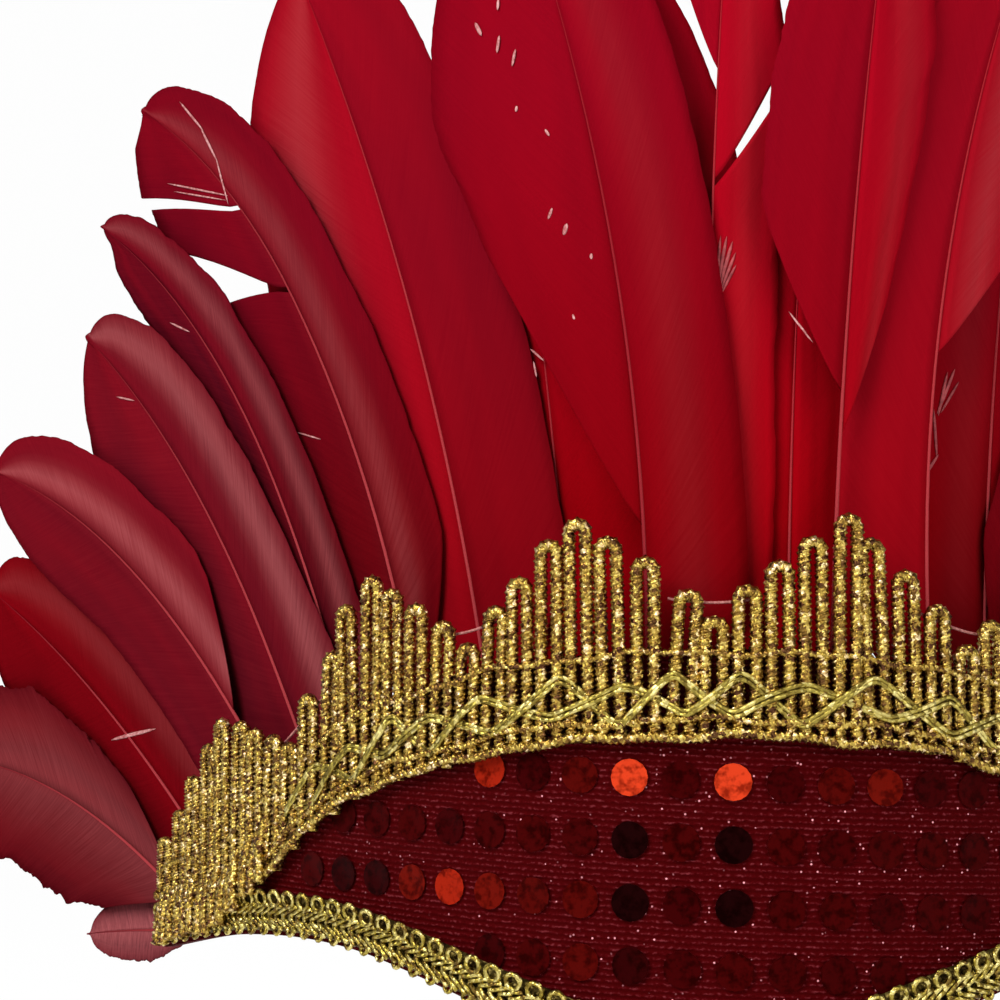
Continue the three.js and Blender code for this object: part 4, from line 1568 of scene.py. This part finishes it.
paper, paper_tree, paper_shader = new_material("pale_paper")
paper_place = paper_tree.nodes.new("ShaderNodeTexCoord")
paper_grain = grain_on(paper_tree, paper_place, "Object", scale=3.0, detail=4.0)
paper_colour = ramp_on(paper_tree, paper_grain, "Shade", PAPER_STOPS)
link(paper_tree, paper_colour, "Color", paper_shader, "Base Color")
set_inputs(paper_shader, Roughness=0.9)
paper_glow = paper_tree.nodes.new("ShaderNodeEmission")
set_inputs(paper_glow, Strength=PAPER_BRIGHTNESS)
paper_sight = paper_tree.nodes.new("ShaderNodeLightPath")
paper_share = math_on(paper_tree, "MULTIPLY", (paper_sight, "Is Camera Ray"), PAPER_GLOW)
paper_mix = paper_tree.nodes.new("ShaderNodeMixShader")
link(paper_tree, paper_share, "Value", paper_mix, "Fac")
link(paper_tree, paper_shader, "BSDF", paper_mix, 1)
link(paper_tree, paper_glow, "Emission", paper_mix, 2)
link(paper_tree, paper_mix, "Shader", paper_tree.nodes["Material Output"], "Surface")
floor.data.materials.append(paper)
print("material", paper.name)

# %% [markdown]
# The light is a plain studio set: one large soft light from the upper left in front, a weaker one from
# the right, one from behind, and a white world that fills the shadows and is brighter to the camera.

# %% The light


def soft_light(name, place, size, power, aim=(0, 0, 0.06)):
    lamp = bpy.data.lights.new(name, "AREA")
    lamp.size = size
    lamp.energy = power
    holder = bpy.data.objects.new(name, lamp)
    holder.location = place
    aim_way = np.array(aim) - np.array(place)
    tilt = math.atan2(math.hypot(aim_way[0], aim_way[1]), -aim_way[2])
    turn = math.atan2(aim_way[1], aim_way[0]) - math.pi / 2
    holder.rotation_euler = (tilt, 0, turn)
    bpy.context.scene.collection.objects.link(holder)


soft_light("key_light", (-0.7, -1.0, 0.9), 0.8, 22)
soft_light("fill_light", (0.9, -0.9, 0.4), 0.8, 6)
soft_light("back_light", (0.3, 1.0, 1.0), 0.8, 8)
world = bpy.data.worlds.new("studio")
world.use_nodes = True
sky_tree = world.node_tree
sky_fill = sky_tree.nodes["Background"]
set_inputs(sky_fill, Color=(1, 1, 1, 1), Strength=0.3)
sky_white = sky_tree.nodes.new("ShaderNodeBackground")
set_inputs(sky_white, Color=(1, 1, 1, 1), Strength=1.0)
sky_sight = sky_tree.nodes.new("ShaderNodeLightPath")
sky_mix = sky_tree.nodes.new("ShaderNodeMixShader")
link(sky_tree, sky_sight, "Is Camera Ray", sky_mix, "Fac")
link(sky_tree, sky_fill, "Background", sky_mix, 1)
link(sky_tree, sky_white, "Background", sky_mix, 2)
link(sky_tree, sky_mix, "Shader", sky_tree.nodes["World Output"], "Surface")
bpy.context.scene.world = world
bpy.context.scene.view_settings.view_transform = "Standard"
print("lights", len(bpy.data.lights))

# %% [markdown]
# The camera stands close in front of the brow. It looks a little up and to the left, so that the object
# sits to the right of the middle of the picture. Both angles are offsets in the picture, in pixels, over
# the length of the lens in pixels.

# %% The camera
CAMERA_PLACE = (0.0, -0.440, 0.038)
CAMERA_LENS = 80
LENS_PIXELS = 2222
EYE_BELOW_PIXELS = 200
BROW_RIGHT_PIXELS = 212

camera_up = math.atan(EYE_BELOW_PIXELS / LENS_PIXELS)
camera_left = math.atan(BROW_RIGHT_PIXELS / LENS_PIXELS)
lens = bpy.data.cameras.new("camera")
lens.lens = CAMERA_LENS
camera = bpy.data.objects.new("camera", lens)
camera.location = CAMERA_PLACE
camera.rotation_euler = (math.pi / 2 + camera_up, 0, camera_left)
bpy.context.scene.collection.objects.link(camera)
bpy.context.scene.camera = camera
print("camera at", CAMERA_PLACE)
